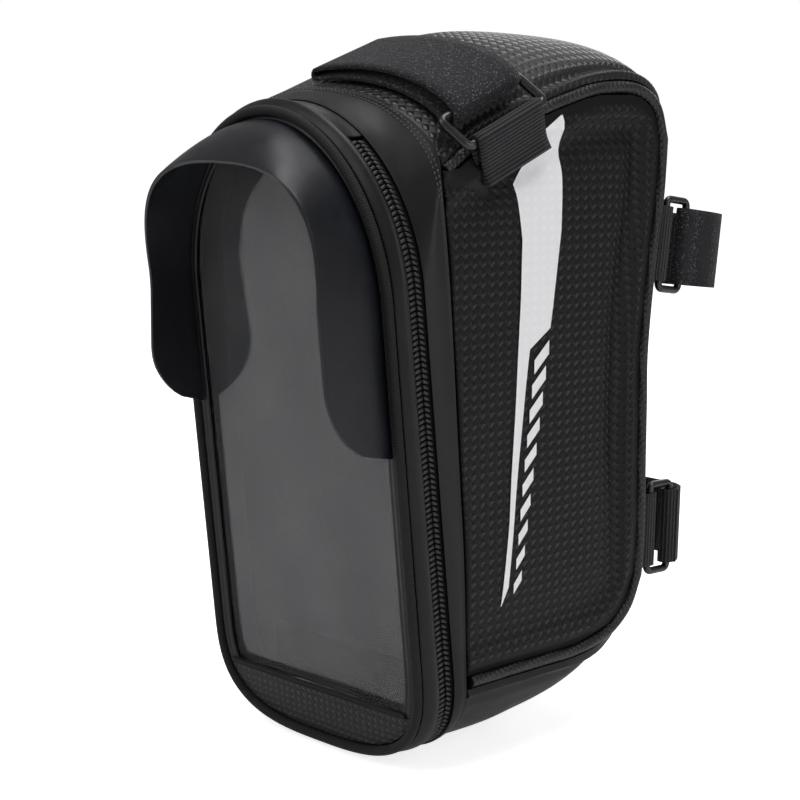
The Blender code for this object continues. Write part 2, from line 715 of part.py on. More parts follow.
def lid_binding(finish):
    route = on_face(face_outline(BINDING_INSET), -BINDING_PROUD)
    return tube("lid_binding", route, BINDING_RADIUS, finish, closed=True)


def visor(finish):
    # a thin hood that stands on the lid's face; its rim is squarer than its foot and drops at the front
    side_steps = 5
    arch_steps = 16
    across = 5
    foot = FACE_HALF_WIDTH - VISOR_INSET
    base = []
    rim = []
    for side, low in ((1, VISOR_FOOT_Z), (-1, VISOR_LEFT_FOOT_Z)):
        half_base = []
        half_rim = []
        for k in range(side_steps):
            z = low + (FACE_HIGH_Z - low) * k / side_steps
            half_base.append((side * foot, z))
            half_rim.append((side * VISOR_RIM_HALF_WIDTH, z))
        for k in range(arch_steps // 2 + 1):
            turn = pi * k / arch_steps
            across_arch = max(cos(turn), 0.0) if k < arch_steps // 2 else 0.0
            half_base.append((side * foot * across_arch,
                              FACE_HIGH_Z + (FACE_TOP_Z - VISOR_INSET - FACE_HIGH_Z) * sin(turn)))
            rim_rise = (VISOR_RIM_TOP_Z - FACE_HIGH_Z) * sin(turn) ** (2 / VISOR_RIM_POWER)
            half_rim.append((side * VISOR_RIM_HALF_WIDTH * across_arch ** (2 / VISOR_RIM_POWER),
                             FACE_HIGH_Z + rim_rise))
        if side > 0:
            base += half_base
            rim += half_rim
        else:
            base += half_base[-2::-1]
            rim += half_rim[-2::-1]
    lengths = [0.0]
    for a, b in zip(base, base[1:]):
        lengths.append(lengths[-1] + step(a, b))
    shape = bmesh.new()
    rows = []
    for (x, z), (u, v), run in zip(base, rim, lengths):
        near = min(run, lengths[-1] - run) / VISOR_CORNER
        rounded = sqrt(max(1 - (1 - min(near, 1.0)) ** 2, 0.0))
        share = VISOR_END_SHARE + (1 - VISOR_END_SHARE) * rounded
        height = max(z - FACE_HIGH_Z, 0.0) / (FACE_TOP_Z - FACE_HIGH_Z)
        side_reach = VISOR_RIGHT_REACH if x > 0 else VISOR_LEFT_REACH
        reach = side_reach + (VISOR_TOP_REACH - side_reach) * min(height * VISOR_TOP_BLEND, 1.0)
        row = []
        for j in range(across + 1):
            t = share * j / across
            bow = t * t
            point = (x + (u - x) * bow, face_y(z) - SEAM_GAP - reach * t, z + (v - z) * bow)
            row.append(shape.verts.new(point))
        rows.append(row)
    for a, b in zip(rows, rows[1:]):
        for j in range(across):
            shape.faces.new((a[j], a[j + 1], b[j + 1], b[j]))
    piece = place("visor", finish_mesh("visor", shape), finish)
    wall = piece.modifiers.new("wall", "SOLIDIFY")
    wall.thickness = VISOR_THICKNESS
    wall.offset = 0.0
    wall.use_even_offset = False
    return piece


# Straps

FRONT_CURVE = smooth_curve(FRONT_SEAM, 3)


def over_front_end(turn, y, lift):
    # a point over the front end panel: turn in degrees from the right seam, lift from the panel
    seam_z = read_curve(FRONT_CURVE, y, 0, 1)
    rise = read_curve(FRONT_CURVE, y, 0, 2)
    angle = radians(turn)
    away = Vector((rise * cos(angle), PANEL_HALF_WIDTH * sin(angle))).normalized() * lift
    return Vector((PANEL_HALF_WIDTH * cos(angle) + away.x, y, seam_z + rise * sin(angle) + away.y))


def strip(name, route, across, thickness, finish, closed=False):
    # a flat strap along a route in a plane; across makes a cross-section from its two faces there
    rings = []
    size = len(route)
    for k in range(size):
        before = route[k - 1] if k or closed else route[0]
        after = route[(k + 1) % size] if k < size - 1 or closed else route[-1]
        length = max(step(before, after), 1e-9)
        normal = ((after[1] - before[1]) / length, (before[0] - after[0]) / length)
        a = (route[k][0] + normal[0] * thickness / 2, route[k][1] + normal[1] * thickness / 2)
        b = (route[k][0] - normal[0] * thickness / 2, route[k][1] - normal[1] * thickness / 2)
        rings.append(across(a, b))
    return loft(name, rings, finish, closed)


def head_bar(y):
    # the ring's upper bar over the panel at y, the panel's outward normal there and the way to the left
    rise = read_curve(FRONT_CURVE, y, 0, 2)
    angle = radians(HEAD_RING_TURN)
    out = Vector((rise * cos(angle), 0.0, PANEL_HALF_WIDTH * sin(angle))).normalized()
    middle = over_front_end(HEAD_RING_TURN, y, HEAD_STRAP_LIFT + HEAD_STRAP_WRAP)
    return middle, out, Vector((-out.z, 0.0, out.x))


def head_edge(y):
    # the loop of strap at one of its edges: out along the panel, back above it and round the ring's bar
    steps = 8
    start = HEAD_RING_TURN + HEAD_STRAP_TURN_GAP
    end = degrees(acos(HEAD_LOOP_END_X / PANEL_HALF_WIDTH))
    ring_lift = HEAD_STRAP_LIFT + 2 * HEAD_STRAP_WRAP
    edge = []
    for k in range(steps + 1):
        edge.append(over_front_end(start + (end - start) * k / steps, y, HEAD_STRAP_LIFT))
    rise = (HEAD_LOOP_HEIGHT - HEAD_STRAP_LIFT) / 2
    for turn in (-45, 0, 45):
        across = degrees(rise * cos(radians(turn)) / PANEL_HALF_WIDTH)
        edge.append(over_front_end(end + across, y, HEAD_STRAP_LIFT + rise + rise * sin(radians(turn))))
    for k in range(steps + 1):
        t = k / steps
        lift = HEAD_LOOP_HEIGHT + (ring_lift - HEAD_LOOP_HEIGHT) * t
        edge.append(over_front_end(end + (start - end) * t, y, lift))
    bar, out, left = head_bar(y)
    for turn in (90, 135, 180, 225, 270):
        edge.append(bar + (left * cos(radians(turn)) + out * sin(radians(turn))) * HEAD_STRAP_WRAP)
    return edge


def head_strap(finish):
    edges = [head_edge(y) for y in (HEAD_STRAP_FRONT_Y, HEAD_STRAP_FRONT_Y + HEAD_STRAP_WIDTH)]
    rings = []
    size = len(edges[0])
    for k in range(size):
        ring = []
        for face, order in ((1, edges), (-1, edges[::-1])):
            for edge in order:
                run = edge[(k + 1) % size] - edge[k - 1]
                normal = Vector((run.z, 0.0, -run.x)).normalized()
                ring.append(edge[k] + normal * (face * STRAP_THICKNESS / 2))
        rings.append(ring)
    return loft("head_strap", rings, finish, closed=True)


def head_bars():
    # both long bars of the head strap's ring, each as (front end, back end)
    front = head_bar(HEAD_STRAP_FRONT_Y)[0]
    back = head_bar(HEAD_STRAP_FRONT_Y + HEAD_STRAP_WIDTH)[0]
    along = (back - front).normalized()
    margin = RING_CORNER + SEAM_GAP
    upper = [front - along * (margin + RING_WIRE + SEAM_GAP), back + along * margin]
    out_x = PIPING_X + PIPING_RADIUS + 3 * SEAM_GAP + TAB_THICKNESS + RING_WIRE
    lower = []
    for point in upper:
        across = out_x - point.x
        drop = sqrt(HEAD_RING_WIDTH ** 2 - across ** 2 - HEAD_RING_SHIFT ** 2)
        lower.append(Vector((out_x, point.y + HEAD_RING_SHIFT, point.z - drop)))
    return upper, lower


def rounded_ring(corners, radius=RING_CORNER, steps=3):
    # a closed route round four corners with rounded turns
    route = []
    for k in range(4):
        corner = corners[k]
        back = (corners[k - 1] - corner).normalized() * radius
        forth = (corners[(k + 1) % 4] - corner).normalized() * radius
        for j in range(steps + 1):
            angle = pi / 2 * j / steps
            route.append(corner + back * (1 - sin(angle)) + forth * (1 - cos(angle)))
    return route


def head_ring(finish):
    upper, lower = head_bars()
    route = rounded_ring([upper[0], upper[1], lower[1], lower[0]])
    return tube("head_ring", route, RING_WIRE, finish, closed=True, resolution=1)


def head_ring_tab(finish):
    # webbing doubled round the ring's lower bar and sewn flat on the side panel
    upper, lower = head_bars()
    side_x = PANEL_HALF_WIDTH + SEAM_GAP + TAB_THICKNESS / 2
    proud_x = PIPING_X + PIPING_RADIUS + SEAM_GAP + TAB_THICKNESS / 2
    bar_x = lower[0].x
    wrap = bar_x - proud_x
    route = [(side_x, -HEAD_TAB_LENGTH), (side_x, -HEAD_TAB_LENGTH * HEAD_TAB_REST),
             (proud_x, -HEAD_TAB_RISE), (proud_x, 0.0)]
    for turn in (135, 90, 45, 0):
        route.append((bar_x + wrap * cos(radians(turn)), wrap * sin(radians(turn))))
    apart = TAB_THICKNESS + SEAM_GAP
    route += [(proud_x + apart + HEAD_TAB_PUFF, -HEAD_TAB_PUFF_Z),
              (side_x + apart + HEAD_TAB_EASE, -HEAD_TAB_LENGTH * 0.7), (side_x + apart, -HEAD_TAB_LENGTH)]
    length = (lower[1] - lower[0]).normalized()
    inside = RING_CORNER + SEAM_GAP
    ends = (lower[0] + length * inside, lower[1] - length * (inside + RING_WIRE + SEAM_GAP))

    def across(a, b):
        ring = []
        for point, end in ((a, ends[0]), (a, ends[1]), (b, ends[1]), (b, ends[0])):
            ring.append((point[0], end.y - min(point[1], 0.0) * HEAD_TAB_SLANT, end.z + point[1]))
        return ring

    return strip("head_ring_tab", route, across, TAB_THICKNESS, finish)


TUBE_CURVE = smooth_curve(TUBE_SEAM, 4)


def tube_frame(centre_z, droop):
    # origin on the tube side panel, and the directions out of it and along the strap's width
    angle = radians(droop)
    half = TUBE_STRAP_WIDTH / 2
    out = Vector((0.0, cos(angle), -sin(angle)))
    along = Vector((0.0, sin(angle), cos(angle)))
    profile = []
    for k in range(-4, 5):
        z = centre_z + half * k / 4
        y = read_curve(TUBE_CURVE, z, 1, 0) + read_curve(TUBE_CURVE, z, 1, 2)
        profile.append(Vector((0.0, y, z)))
    middle = profile[4]
    proud = max((point - middle).dot(out) for point in profile)
    return middle + out * (proud + SEAM_GAP), out, along


def tube_strap(name, centre_z, reach, droop, finish):
    # sewn on the left of the panel, out round the frame tube's place and back through the ring
    origin, out, along = tube_frame(centre_z, droop)
    lie = STRAP_THICKNESS / 2
    ring = TUBE_RING_X
    over = RING_WIRE + SEAM_GAP + lie
    bar = TUBE_RING_OUT + TUBE_RING_HALF_WIDTH
    bend = min(TUBE_BEND, reach * TUBE_BEND_SHARE)
    sewn = [(inset - ring, lie) for inset in TUBE_SEWN_INSETS]
    route = smooth_curve([
        *sewn, (TUBE_LIFT_INSET - ring, TUBE_LIFT), (-ring, TUBE_RISE), (-ring, reach - bend),
        (-ring + bend * 0.7, reach - bend * 0.25), (-ring + 2 * bend, reach), (ring - 2 * bend, reach),
        (ring - bend * 0.4, reach - bend * 0.25), (ring + over, reach - bend * 1.1),
        (ring + over, bar + RING_WIRE / 2), (ring + over * 0.6, bar - over), (ring - over * 0.6, bar - over),
        (ring - over, bar + RING_WIRE), (ring - over, bar + TUBE_TAIL)], 2)
    half = TUBE_STRAP_WIDTH / 2

    def across(a, b):
        ends = ((a, -half), (a, half), (b, half), (b, -half))
        return [Vector((point[0], 0.0, 0.0)) + origin + out * point[1] + along * side for point, side in ends]

    return strip(name, route, across, STRAP_THICKNESS, finish)


def tube_ring(name, centre_z, droop, finish):
    origin, out, along = tube_frame(centre_z, droop)
    middle = origin + out * TUBE_RING_OUT + Vector((TUBE_RING_X, 0.0, 0.0))
    long_way = along * TUBE_RING_HALF_LENGTH
    short_way = out * TUBE_RING_HALF_WIDTH
    corners = [middle + long_way + short_way, middle - long_way + short_way,
               middle - long_way - short_way, middle + long_way - short_way]
    return tube(name, rounded_ring(corners), RING_WIRE, finish, closed=True, resolution=1)


def tube_ring_tab(name, centre_z, droop, finish):
    # webbing doubled round the ring's inner bar, both ends down on the side seam
    origin, out, along = tube_frame(centre_z, droop)
    wrap = RING_WIRE + SEAM_GAP + TAB_THICKNESS / 2
    bar = TUBE_RING_OUT - TUBE_RING_HALF_WIDTH
    route = [(TUBE_RING_X - wrap, 0.0), (TUBE_RING_X - wrap, bar)]
    for turn in (135, 90, 45):
        route.append((TUBE_RING_X + wrap * cos(radians(turn)), bar + wrap * sin(radians(turn))))
    route += [(TUBE_RING_X + wrap, bar), (TUBE_RING_X + wrap, 0.0)]
    half = TUBE_RING_HALF_LENGTH - RING_WIRE - 4 * SEAM_GAP

    def foot(side):
        z = (origin + along * side).z
        seam = Vector((0.0, read_curve(TUBE_CURVE, z, 1, 0) + PIPING_RADIUS + SEAM_GAP, z))
        return (seam - origin).dot(out)

    def across(a, b):
        ring = []
        for point, side in ((a, -half), (a, half), (b, half), (b, -half)):
            lift = point[1] if point[1] > 0.0 else foot(side)
            ring.append(Vector((point[0], 0.0, 0.0)) + origin + out * lift + along * side)
        return ring

    return strip(name, route, across, TAB_THICKNESS, finish)


def build():
    for old in list(bpy.data.objects):
        bpy.data.objects.remove(old, do_unlink=True)

    embossed = material("embossed laminate", BLACK, 0.42)
    smooth = material("smooth laminate", BLACK, 0.38)
    piping_skin = material("piping skin", DARK_GREY, 0.45)
    webbing = material("webbing", BLACK, 0.85)
    ring_plastic = material("ring plastic", BLACK, 0.30)
    tape = material("zip tape", BLACK, 0.75)
    slider_metal = material("painted zinc", DARK_GREY, 0.35, 0.6)
    film = material("clear film", (0.50, 0.50, 0.52, 1.0), 0.12)
    lining = material("lining cloth", DARK_GREY, 0.9)

    for name, side in (("right", 1), ("left", -1)):
        side_panel(f"side_panel_{name}", side, embossed)
        piping(f"piping_{name}", side, piping_skin)
    half_gap = SEAM_GAP / 2
    crowned_panel("front_end_panel", FRONT_SEAM, embossed, SEAM_GAP, half_gap)
    crowned_panel("tube_side_panel", TUBE_SEAM, embossed, half_gap, half_gap)
    crowned_panel("rear_end_panel", REAR_SEAM, smooth, half_gap, SEAM_GAP)
    zip_band(smooth)
    zip_tape("body_zip_tape", 1, tape)
    hinge_strip(smooth)

    head_strap(webbing)
    head_ring(ring_plastic)
    head_ring_tab(webbing)
    for name, centre_z, reach, droop in (("upper", UPPER_STRAP_Z, UPPER_LOOP_REACH, UPPER_LOOP_DROOP),
                                         ("lower", LOWER_STRAP_Z, LOWER_LOOP_REACH, LOWER_LOOP_DROOP)):
        tube_strap(f"{name}_strap", centre_z, reach, droop, webbing)
        tube_ring(f"{name}_ring", centre_z, droop, ring_plastic)
        tube_ring_tab(f"{name}_ring_tab", centre_z, droop, webbing)

    hinge_z = LID_TOP_Z + HINGE_AXIS_RISE
    hinge = bpy.data.objects.new("lid_hinge_axis", None)
    bpy.context.scene.collection.objects.link(hinge)
    hinge.location = (0.0, zip_y(hinge_z), hinge_z)
    for piece in (lid_wall(smooth), lid_binding(piping_skin), zip_tape("lid_zip_tape", -1, tape),
                  window_frame(smooth), lower_insert(embossed), window_film(film), visor(smooth),
                  pocket_gusset(lining), pocket_back(lining)):
        piece.parent = hinge
        piece.location = -hinge.location

    away = SLIDER_GAP / 2 + SLIDER_LENGTH / 2
    for name, centre_z, nose in (("upper", SLIDERS_MEET_Z + away, -1), ("lower", SLIDERS_MEET_Z - away, 1)):
        slider(f"{name}_slider", centre_z, nose, slider_metal)
        pull(f"{name}_pull", centre_z, nose, slider_metal)


build()
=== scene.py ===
from math import acos, cos, degrees, exp, hypot, pi, radians, sin, sqrt, tan

import bmesh
import bpy
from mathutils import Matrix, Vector, noise


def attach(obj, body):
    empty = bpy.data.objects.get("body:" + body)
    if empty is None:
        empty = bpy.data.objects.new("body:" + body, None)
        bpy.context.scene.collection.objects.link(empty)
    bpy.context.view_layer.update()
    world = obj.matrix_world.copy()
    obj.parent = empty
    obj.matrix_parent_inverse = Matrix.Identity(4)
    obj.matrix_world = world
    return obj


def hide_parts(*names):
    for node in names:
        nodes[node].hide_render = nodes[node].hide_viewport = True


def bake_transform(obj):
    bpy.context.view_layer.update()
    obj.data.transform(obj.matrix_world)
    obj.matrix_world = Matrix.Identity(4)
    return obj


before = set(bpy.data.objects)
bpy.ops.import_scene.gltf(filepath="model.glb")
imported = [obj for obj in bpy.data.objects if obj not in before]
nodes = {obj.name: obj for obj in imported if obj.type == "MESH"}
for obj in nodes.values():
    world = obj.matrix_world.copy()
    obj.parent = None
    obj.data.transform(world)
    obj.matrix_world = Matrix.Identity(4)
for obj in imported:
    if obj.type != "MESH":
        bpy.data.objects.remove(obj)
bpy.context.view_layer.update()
print("frame loaded")


# Colours and nodes

def linear(hexText):
    # an sRGB colour such as "1c1c20" as linear RGBA
    values = [int(hexText[k:k + 2], 16) / 255 for k in (0, 2, 4)]
    return tuple(v / 12.92 if v <= 0.04045 else ((v + 0.055) / 1.055) ** 2.4 for v in values) + (1.0,)


def addNode(tree, kind, inputs, output=0, **settings):
    # a node with its settings, its inputs each set to a value or linked to a socket; gives one output socket
    node = tree.nodes.new("ShaderNode" + kind)
    for name, value in settings.items():
        setattr(node, name, value)
    for key, value in inputs.items():
        if isinstance(value, bpy.types.NodeSocket):
            tree.links.new(value, node.inputs[key])
        else:
            node.inputs[key].default_value = value
    return node.outputs[output]


def newMaterial(name, **values):
    # values are the shader's own constant sockets
    made = bpy.data.materials.new(name)
    made.use_nodes = True
    shader = made.node_tree.nodes["Principled BSDF"]
    for key, value in values.items():
        shader.inputs[key.replace("_", " ")].default_value = value
    return made, made.node_tree, shader


def join(tree, shader, **sources):
    for key, source in sources.items():
        tree.links.new(source, shader.inputs[key.replace("_", " ")])


def weave(tree, pitch, turn):
    # an embossed check over UV in metres: its height, every other cell domed, and which cells those are
    turned = addNode(tree, "Mapping", {
        "Vector": addNode(tree, "UVMap", {}), "Rotation": (0, 0, turn),
        "Scale": (1 / (pitch * laminate["wide"]), laminate["wide"] / pitch, 1)})
    split = addNode(tree, "SeparateXYZ", {0: turned}).node
    arches = []
    cells = []
    for axis in ("X", "Y"):
        share = addNode(tree, "Math", {0: split.outputs[axis]}, operation="FRACT")
        halfTurn = addNode(tree, "Math", {0: share, 1: pi}, operation="MULTIPLY")
        arches.append(addNode(tree, "Math", {0: halfTurn}, operation="SINE"))
        cells.append(addNode(tree, "Math", {0: split.outputs[axis]}, operation="FLOOR"))
    count = addNode(tree, "Math", {0: cells[0], 1: cells[1]}, operation="ADD")
    odd = addNode(tree, "Math", {0: count, 1: 1.0}, operation="PINGPONG")
    arch = addNode(tree, "Math", {0: arches[0], 1: arches[1]}, operation="MULTIPLY")
    dome = addNode(tree, "Math", {0: arch, 1: 0.6}, operation="POWER")
    level = addNode(tree, "MapRange", {0: odd, 3: 0.22})
    return addNode(tree, "Math", {0: dome, 1: level}, operation="MULTIPLY"), odd


# Finishes

# tones are a dark ground, a light painted highlight for the domed cells, and a mid veil
laminate = {"tones": ("0a0a0b", "242428", "131316"), "shadedSideTones": ("070708", "18181b", "0c0c0e"),
            "pitch": 0.00230, "depth": 0.00038, "wide": 1.12, "plainEdge": 0.0032, "fade": 0.0004,
            "finePitch": 0.0017, "fineDepth": 0.00030, "shine": 0.32, "sideShine": 0.17}


def embossedLaminate(name, pitch, depth, tones, shine, plainEdge=0.0):
    # synthetic laminate embossed by a hot roller: shiny domes on a duller ground, plain along a sewn edge;
    # the domed cells are painted lighter, a painted highlight
    dark, light, veil = (linear(tone) for tone in tones)
    made, tree, shader = newMaterial(name, Specular_IOR_Level=shine)
    height, odd = weave(tree, pitch, radians(45))
    if plainEdge:
        away = addNode(tree, "Attribute", {}, "Fac", attribute_name="seamDistance")
        shown = addNode(tree, "MapRange", {0: away, 1: plainEdge - laminate["fade"],
                                           2: plainEdge + laminate["fade"]})
        height = addNode(tree, "Math", {0: height, 1: shown}, operation="MULTIPLY")
        odd = addNode(tree, "Math", {0: odd, 1: shown}, operation="MULTIPLY")
    where = addNode(tree, "TexCoord", {}, "Object")
    # every other cell, most on its crown, is painted lighter: a painted highlight
    raised = addNode(tree, "Math", {0: height, 1: 0.6}, operation="MULTIPLY")
    tone = addNode(tree, "Math", {0: odd, 1: 0.3, 2: raised}, operation="MULTIPLY_ADD")
    checkHighlightColour = addNode(tree, "Mix", {0: tone, 6: dark, 7: light}, 2, data_type="RGBA")
    cloud = addNode(tree, "TexNoise", {"Vector": where, "Scale": 38.0, "Detail": 3.0})
    # a random cloud fades the check's painted highlight towards the mid veil tone in patches
    patchyVeil = addNode(tree, "MapRange", {0: cloud, 1: 0.35, 2: 0.7, 4: 0.35})
    colour = addNode(tree, "Mix", {0: patchyVeil, 6: checkHighlightColour, 7: veil}, 2, data_type="RGBA")
    gloss = addNode(tree, "MapRange", {0: odd, 3: 0.52, 4: 0.33})
    grain = addNode(tree, "TexNoise", {"Vector": where, "Scale": 2600.0})
    under = addNode(tree, "Bump", {"Height": grain, "Distance": 0.00004, "Strength": 0.6})
    relief = addNode(tree, "Bump", {"Height": height, "Distance": depth, "Normal": under})
    join(tree, shader, Base_Color=colour, Roughness=gloss, Normal=relief)
    return made


def smoothLaminate(name, base, light, roughness):
    # smooth synthetic laminate or sheet: a soft gloss over a very fine grain, a little uneven
    made, tree, shader = newMaterial(name, Specular_IOR_Level=0.28)
    where = addNode(tree, "TexCoord", {}, "Object")
    cloud = addNode(tree, "TexNoise", {"Vector": where, "Scale": 24.0, "Detail": 3.0})
    share = addNode(tree, "MapRange", {0: cloud, 1: 0.3, 2: 0.75})
    colour = addNode(tree, "Mix", {0: share, 6: linear(base), 7: linear(light)}, 2, data_type="RGBA")
    rubbed = addNode(tree, "TexNoise", {"Vector": where, "Scale": 160.0, "Detail": 3.0})
    gloss = addNode(tree, "MapRange", {0: rubbed, 1: 0.3, 2: 0.7, 3: roughness - 0.05, 4: roughness + 0.06})
    grain = addNode(tree, "TexNoise", {"Vector": where, "Scale": 1900.0, "Detail": 3.0})
    under = addNode(tree, "Bump", {"Height": grain, "Distance": 0.00006, "Strength": 0.7})
    swell = addNode(tree, "TexNoise", {"Vector": where, "Scale": 75.0})
    relief = addNode(tree, "Bump", {"Height": swell, "Distance": 0.0006, "Strength": 0.35, "Normal": under})
    join(tree, shader, Base_Color=colour, Roughness=gloss, Normal=relief)
    return made


def cordSkin(name):
    # piping skin: the embossed laminate pulled round a cord, so that its check twists along it; every other
    # cell and the domes' crowns are painted lighter, a painted highlight
    made, tree, shader = newMaterial(name, Roughness=0.38, Specular_IOR_Level=0.36)
    height, odd = weave(tree, 0.0016, radians(38))
    raised = addNode(tree, "Math", {0: height, 1: 0.5}, operation="MULTIPLY")
    tone = addNode(tree, "Math", {0: odd, 1: 0.4, 2: raised}, operation="MULTIPLY_ADD")
    colour = addNode(tree, "Mix", {0: tone, 6: linear("0f0f11"), 7: linear("222227")}, 2, data_type="RGBA")
    relief = addNode(tree, "Bump", {"Height": height, "Distance": 0.00034})
    join(tree, shader, Base_Color=colour, Normal=relief)
    return made


def ribbedWebbing(name, pitch, base, light, depth):
    # woven polyester webbing: rib crests painted pale, a painted highlight, across a dull dark strap; UV y
    # runs along it
    made, tree, shader = newMaterial(name, Roughness=0.72, Sheen_Weight=0.06, Sheen_Roughness=0.45,
                                     Specular_IOR_Level=0.25)
    split = addNode(tree, "SeparateXYZ", {0: addNode(tree, "UVMap", {})}).node
    waves = []
    for axis, spacing in (("Y", pitch), ("X", pitch * 0.62)):
        turn = addNode(tree, "Math", {0: split.outputs[axis], 1: 2 * pi / spacing}, operation="MULTIPLY")
        waves.append(addNode(tree, "Math", {0: turn}, operation="SINE"))
    rib = addNode(tree, "Math", {0: waves[1], 1: 0.35, 2: waves[0]}, operation="MULTIPLY_ADD")
    crestHighlight = addNode(tree, "MapRange", {0: rib, 2: 1.25})
    colour = addNode(tree, "Mix", {0: crestHighlight, 6: linear(base), 7: linear(light)}, 2, data_type="RGBA")
    fluff = addNode(tree, "TexNoise", {"Vector": addNode(tree, "TexCoord", {}, "Object"), "Scale": 3200.0})
    under = addNode(tree, "Bump", {"Height": fluff, "Distance": 0.00012, "Strength": 0.5})
    relief = addNode(tree, "Bump", {"Height": rib, "Distance": depth, "Normal": under})
    join(tree, shader, Base_Color=colour, Normal=relief)
    return made


def loopTape(name):
    # napped nylon loop tape: tiny painted glints on the loops over a dark ground, coarser than real ones so
    # that they show
    made, tree, shader = newMaterial(name, Roughness=0.85, Sheen_Weight=0.08, Sheen_Roughness=0.4,
                                     Specular_IOR_Level=0.25)
    where = addNode(tree, "TexCoord", {}, "Object")
    cells = addNode(tree, "TexVoronoi", {"Vector": where, "Scale": 1900.0}).node.outputs
    spot = addNode(tree, "MapRange", {0: cells["Distance"], 1: 0.15, 2: 0.42, 3: 1.0, 4: 0.0})
    picked = addNode(tree, "MapRange", {0: addNode(tree, "SeparateColor", {0: cells["Color"]}), 1: 0.55})
    loopGlints = addNode(tree, "Math", {0: spot, 1: picked}, operation="MULTIPLY")
    nap = addNode(tree, "TexNoise", {"Vector": where, "Scale": 900.0, "Detail": 4.0, "Roughness": 0.7})
    share = addNode(tree, "MapRange", {0: nap, 1: 0.35, 2: 0.7})
    ground = addNode(tree, "Mix", {0: share, 6: linear("0e0e10"), 7: linear("1f1f23")}, 2, data_type="RGBA")
    colour = addNode(tree, "Mix", {0: loopGlints, 6: ground, 7: linear("8c8c95")}, 2, data_type="RGBA")
    relief = addNode(tree, "Bump", {"Height": nap, "Distance": 0.0005, "Strength": 0.9})
    join(tree, shader, Base_Color=colour, Normal=relief)
    return made


def plainCloth(name, base, light, pitch, depth):
    # closely woven polyester lining or tape, dull all over
    made, tree, shader = newMaterial(name, Roughness=0.9, Specular_IOR_Level=0.08)
    split = addNode(tree, "SeparateXYZ", {0: addNode(tree, "TexCoord", {}, "Object")}).node
    waves = []
    for axis in ("X", "Z"):
        turn = addNode(tree, "Math", {0: split.outputs[axis], 1: 2 * pi / pitch}, operation="MULTIPLY")
        waves.append(addNode(tree, "Math", {0: turn}, operation="SINE"))
    cross = addNode(tree, "Math", {0: waves[0], 1: waves[1]}, operation="MULTIPLY")
    share = addNode(tree, "MapRange", {0: cross, 1: -1.0})
    colour = addNode(tree, "Mix", {0: share, 6: linear(base), 7: linear(light)}, 2, data_type="RGBA")
    relief = addNode(tree, "Bump", {"Height": cross, "Distance": depth, "Strength": 0.6})
    join(tree, shader, Base_Color=colour, Normal=relief)
    return made


def mouldedPlastic(name, base, roughness):
    # moulded acetal or nylon with a faint satin grain
    made, tree, shader = newMaterial(name)
    grain = addNode(tree, "TexNoise", {"Vector": addNode(tree, "TexCoord", {}, "Object"), "Scale": 900.0,
                                       "Detail": 3.0})
    colour = addNode(tree, "Mix", {0: grain, 6: linear(base), 7: linear("1d1d20")}, 2, data_type="RGBA")
    gloss = addNode(tree, "MapRange", {0: grain, 1: 0.3, 2: 0.7, 3: roughness - 0.05, 4: roughness + 0.08})
    relief = addNode(tree, "Bump", {"Height": grain, "Distance": 0.00003, "Strength": 0.4})
    join(tree, shader, Base_Color=colour, Roughness=gloss, Normal=relief)
    return made


def paintedZinc(name):
    # black paint over cast zinc, rubbed a little greyer where it is handled
    made, tree, shader = newMaterial(name, Metallic=0.55)
    rubbed = addNode(tree, "TexNoise", {"Vector": addNode(tree, "TexCoord", {}, "Object"), "Scale": 700.0,
                                        "Detail": 4.0})
    share = addNode(tree, "MapRange", {0: rubbed, 1: 0.55, 2: 0.72})
    colour = addNode(tree, "Mix", {0: share, 6: linear("1a1a1d"), 7: linear("3c3c42")}, 2, data_type="RGBA")
    gloss = addNode(tree, "MapRange", {0: rubbed, 1: 0.3, 2: 0.7, 3: 0.28, 4: 0.42})
    relief = addNode(tree, "Bump", {"Height": rubbed, "Distance": 0.00002, "Strength": 0.5})
    join(tree, shader, Base_Color=colour, Roughness=gloss, Normal=relief)
    return made


def clearFilm(name):
    # calendered clear film: see-through, with a slight haze and shallow waves that bend reflections
    made, tree, shader = newMaterial(name, IOR=1.26, Transmission_Weight=0.97)
    where = addNode(tree, "TexCoord", {}, "Object")
    haze = addNode(tree, "TexNoise", {"Vector": where, "Scale": 60.0, "Detail": 4.0})
    share = addNode(tree, "MapRange", {0: haze, 1: 0.3, 2: 0.7})
    colour = addNode(tree, "Mix", {0: share, 6: linear("dddee2"), 7: linear("f0f0f2")}, 2, data_type="RGBA")
    scuffs = addNode(tree, "TexNoise", {"Vector": where, "Scale": 120.0})
    gloss = addNode(tree, "MapRange", {0: scuffs, 1: 0.35, 2: 0.75, 3: 0.02, 4: 0.05})
    waves = addNode(tree, "TexNoise", {"Vector": where, "Scale": 30.0, "Detail": 1.0})
    relief = addNode(tree, "Bump", {"Height": waves, "Distance": 0.0012, "Strength": 0.4})
    join(tree, shader, Base_Color=colour, Roughness=gloss, Normal=relief)
    return made


def printedWhite(name):
    # pale screen print, with the embossed check showing through faintly as domes a little paler, a faint
    # painted highlight
    made, tree, shader = newMaterial(name, Roughness=0.48)
    height = weave(tree, laminate["pitch"], radians(45))[0]
    colour = addNode(tree, "Mix", {0: height, 6: linear("efeff1"), 7: linear("f4f4f6")}, 2, data_type="RGBA")
    relief = addNode(tree, "Bump", {"Height": height, "Distance": 0.00003, "Strength": 0.4})
    join(tree, shader, Base_Color=colour, Normal=relief)
    return made


embossed = embossedLaminate("embossed laminate", laminate["pitch"], laminate["depth"], laminate["tones"],
                            laminate["shine"])
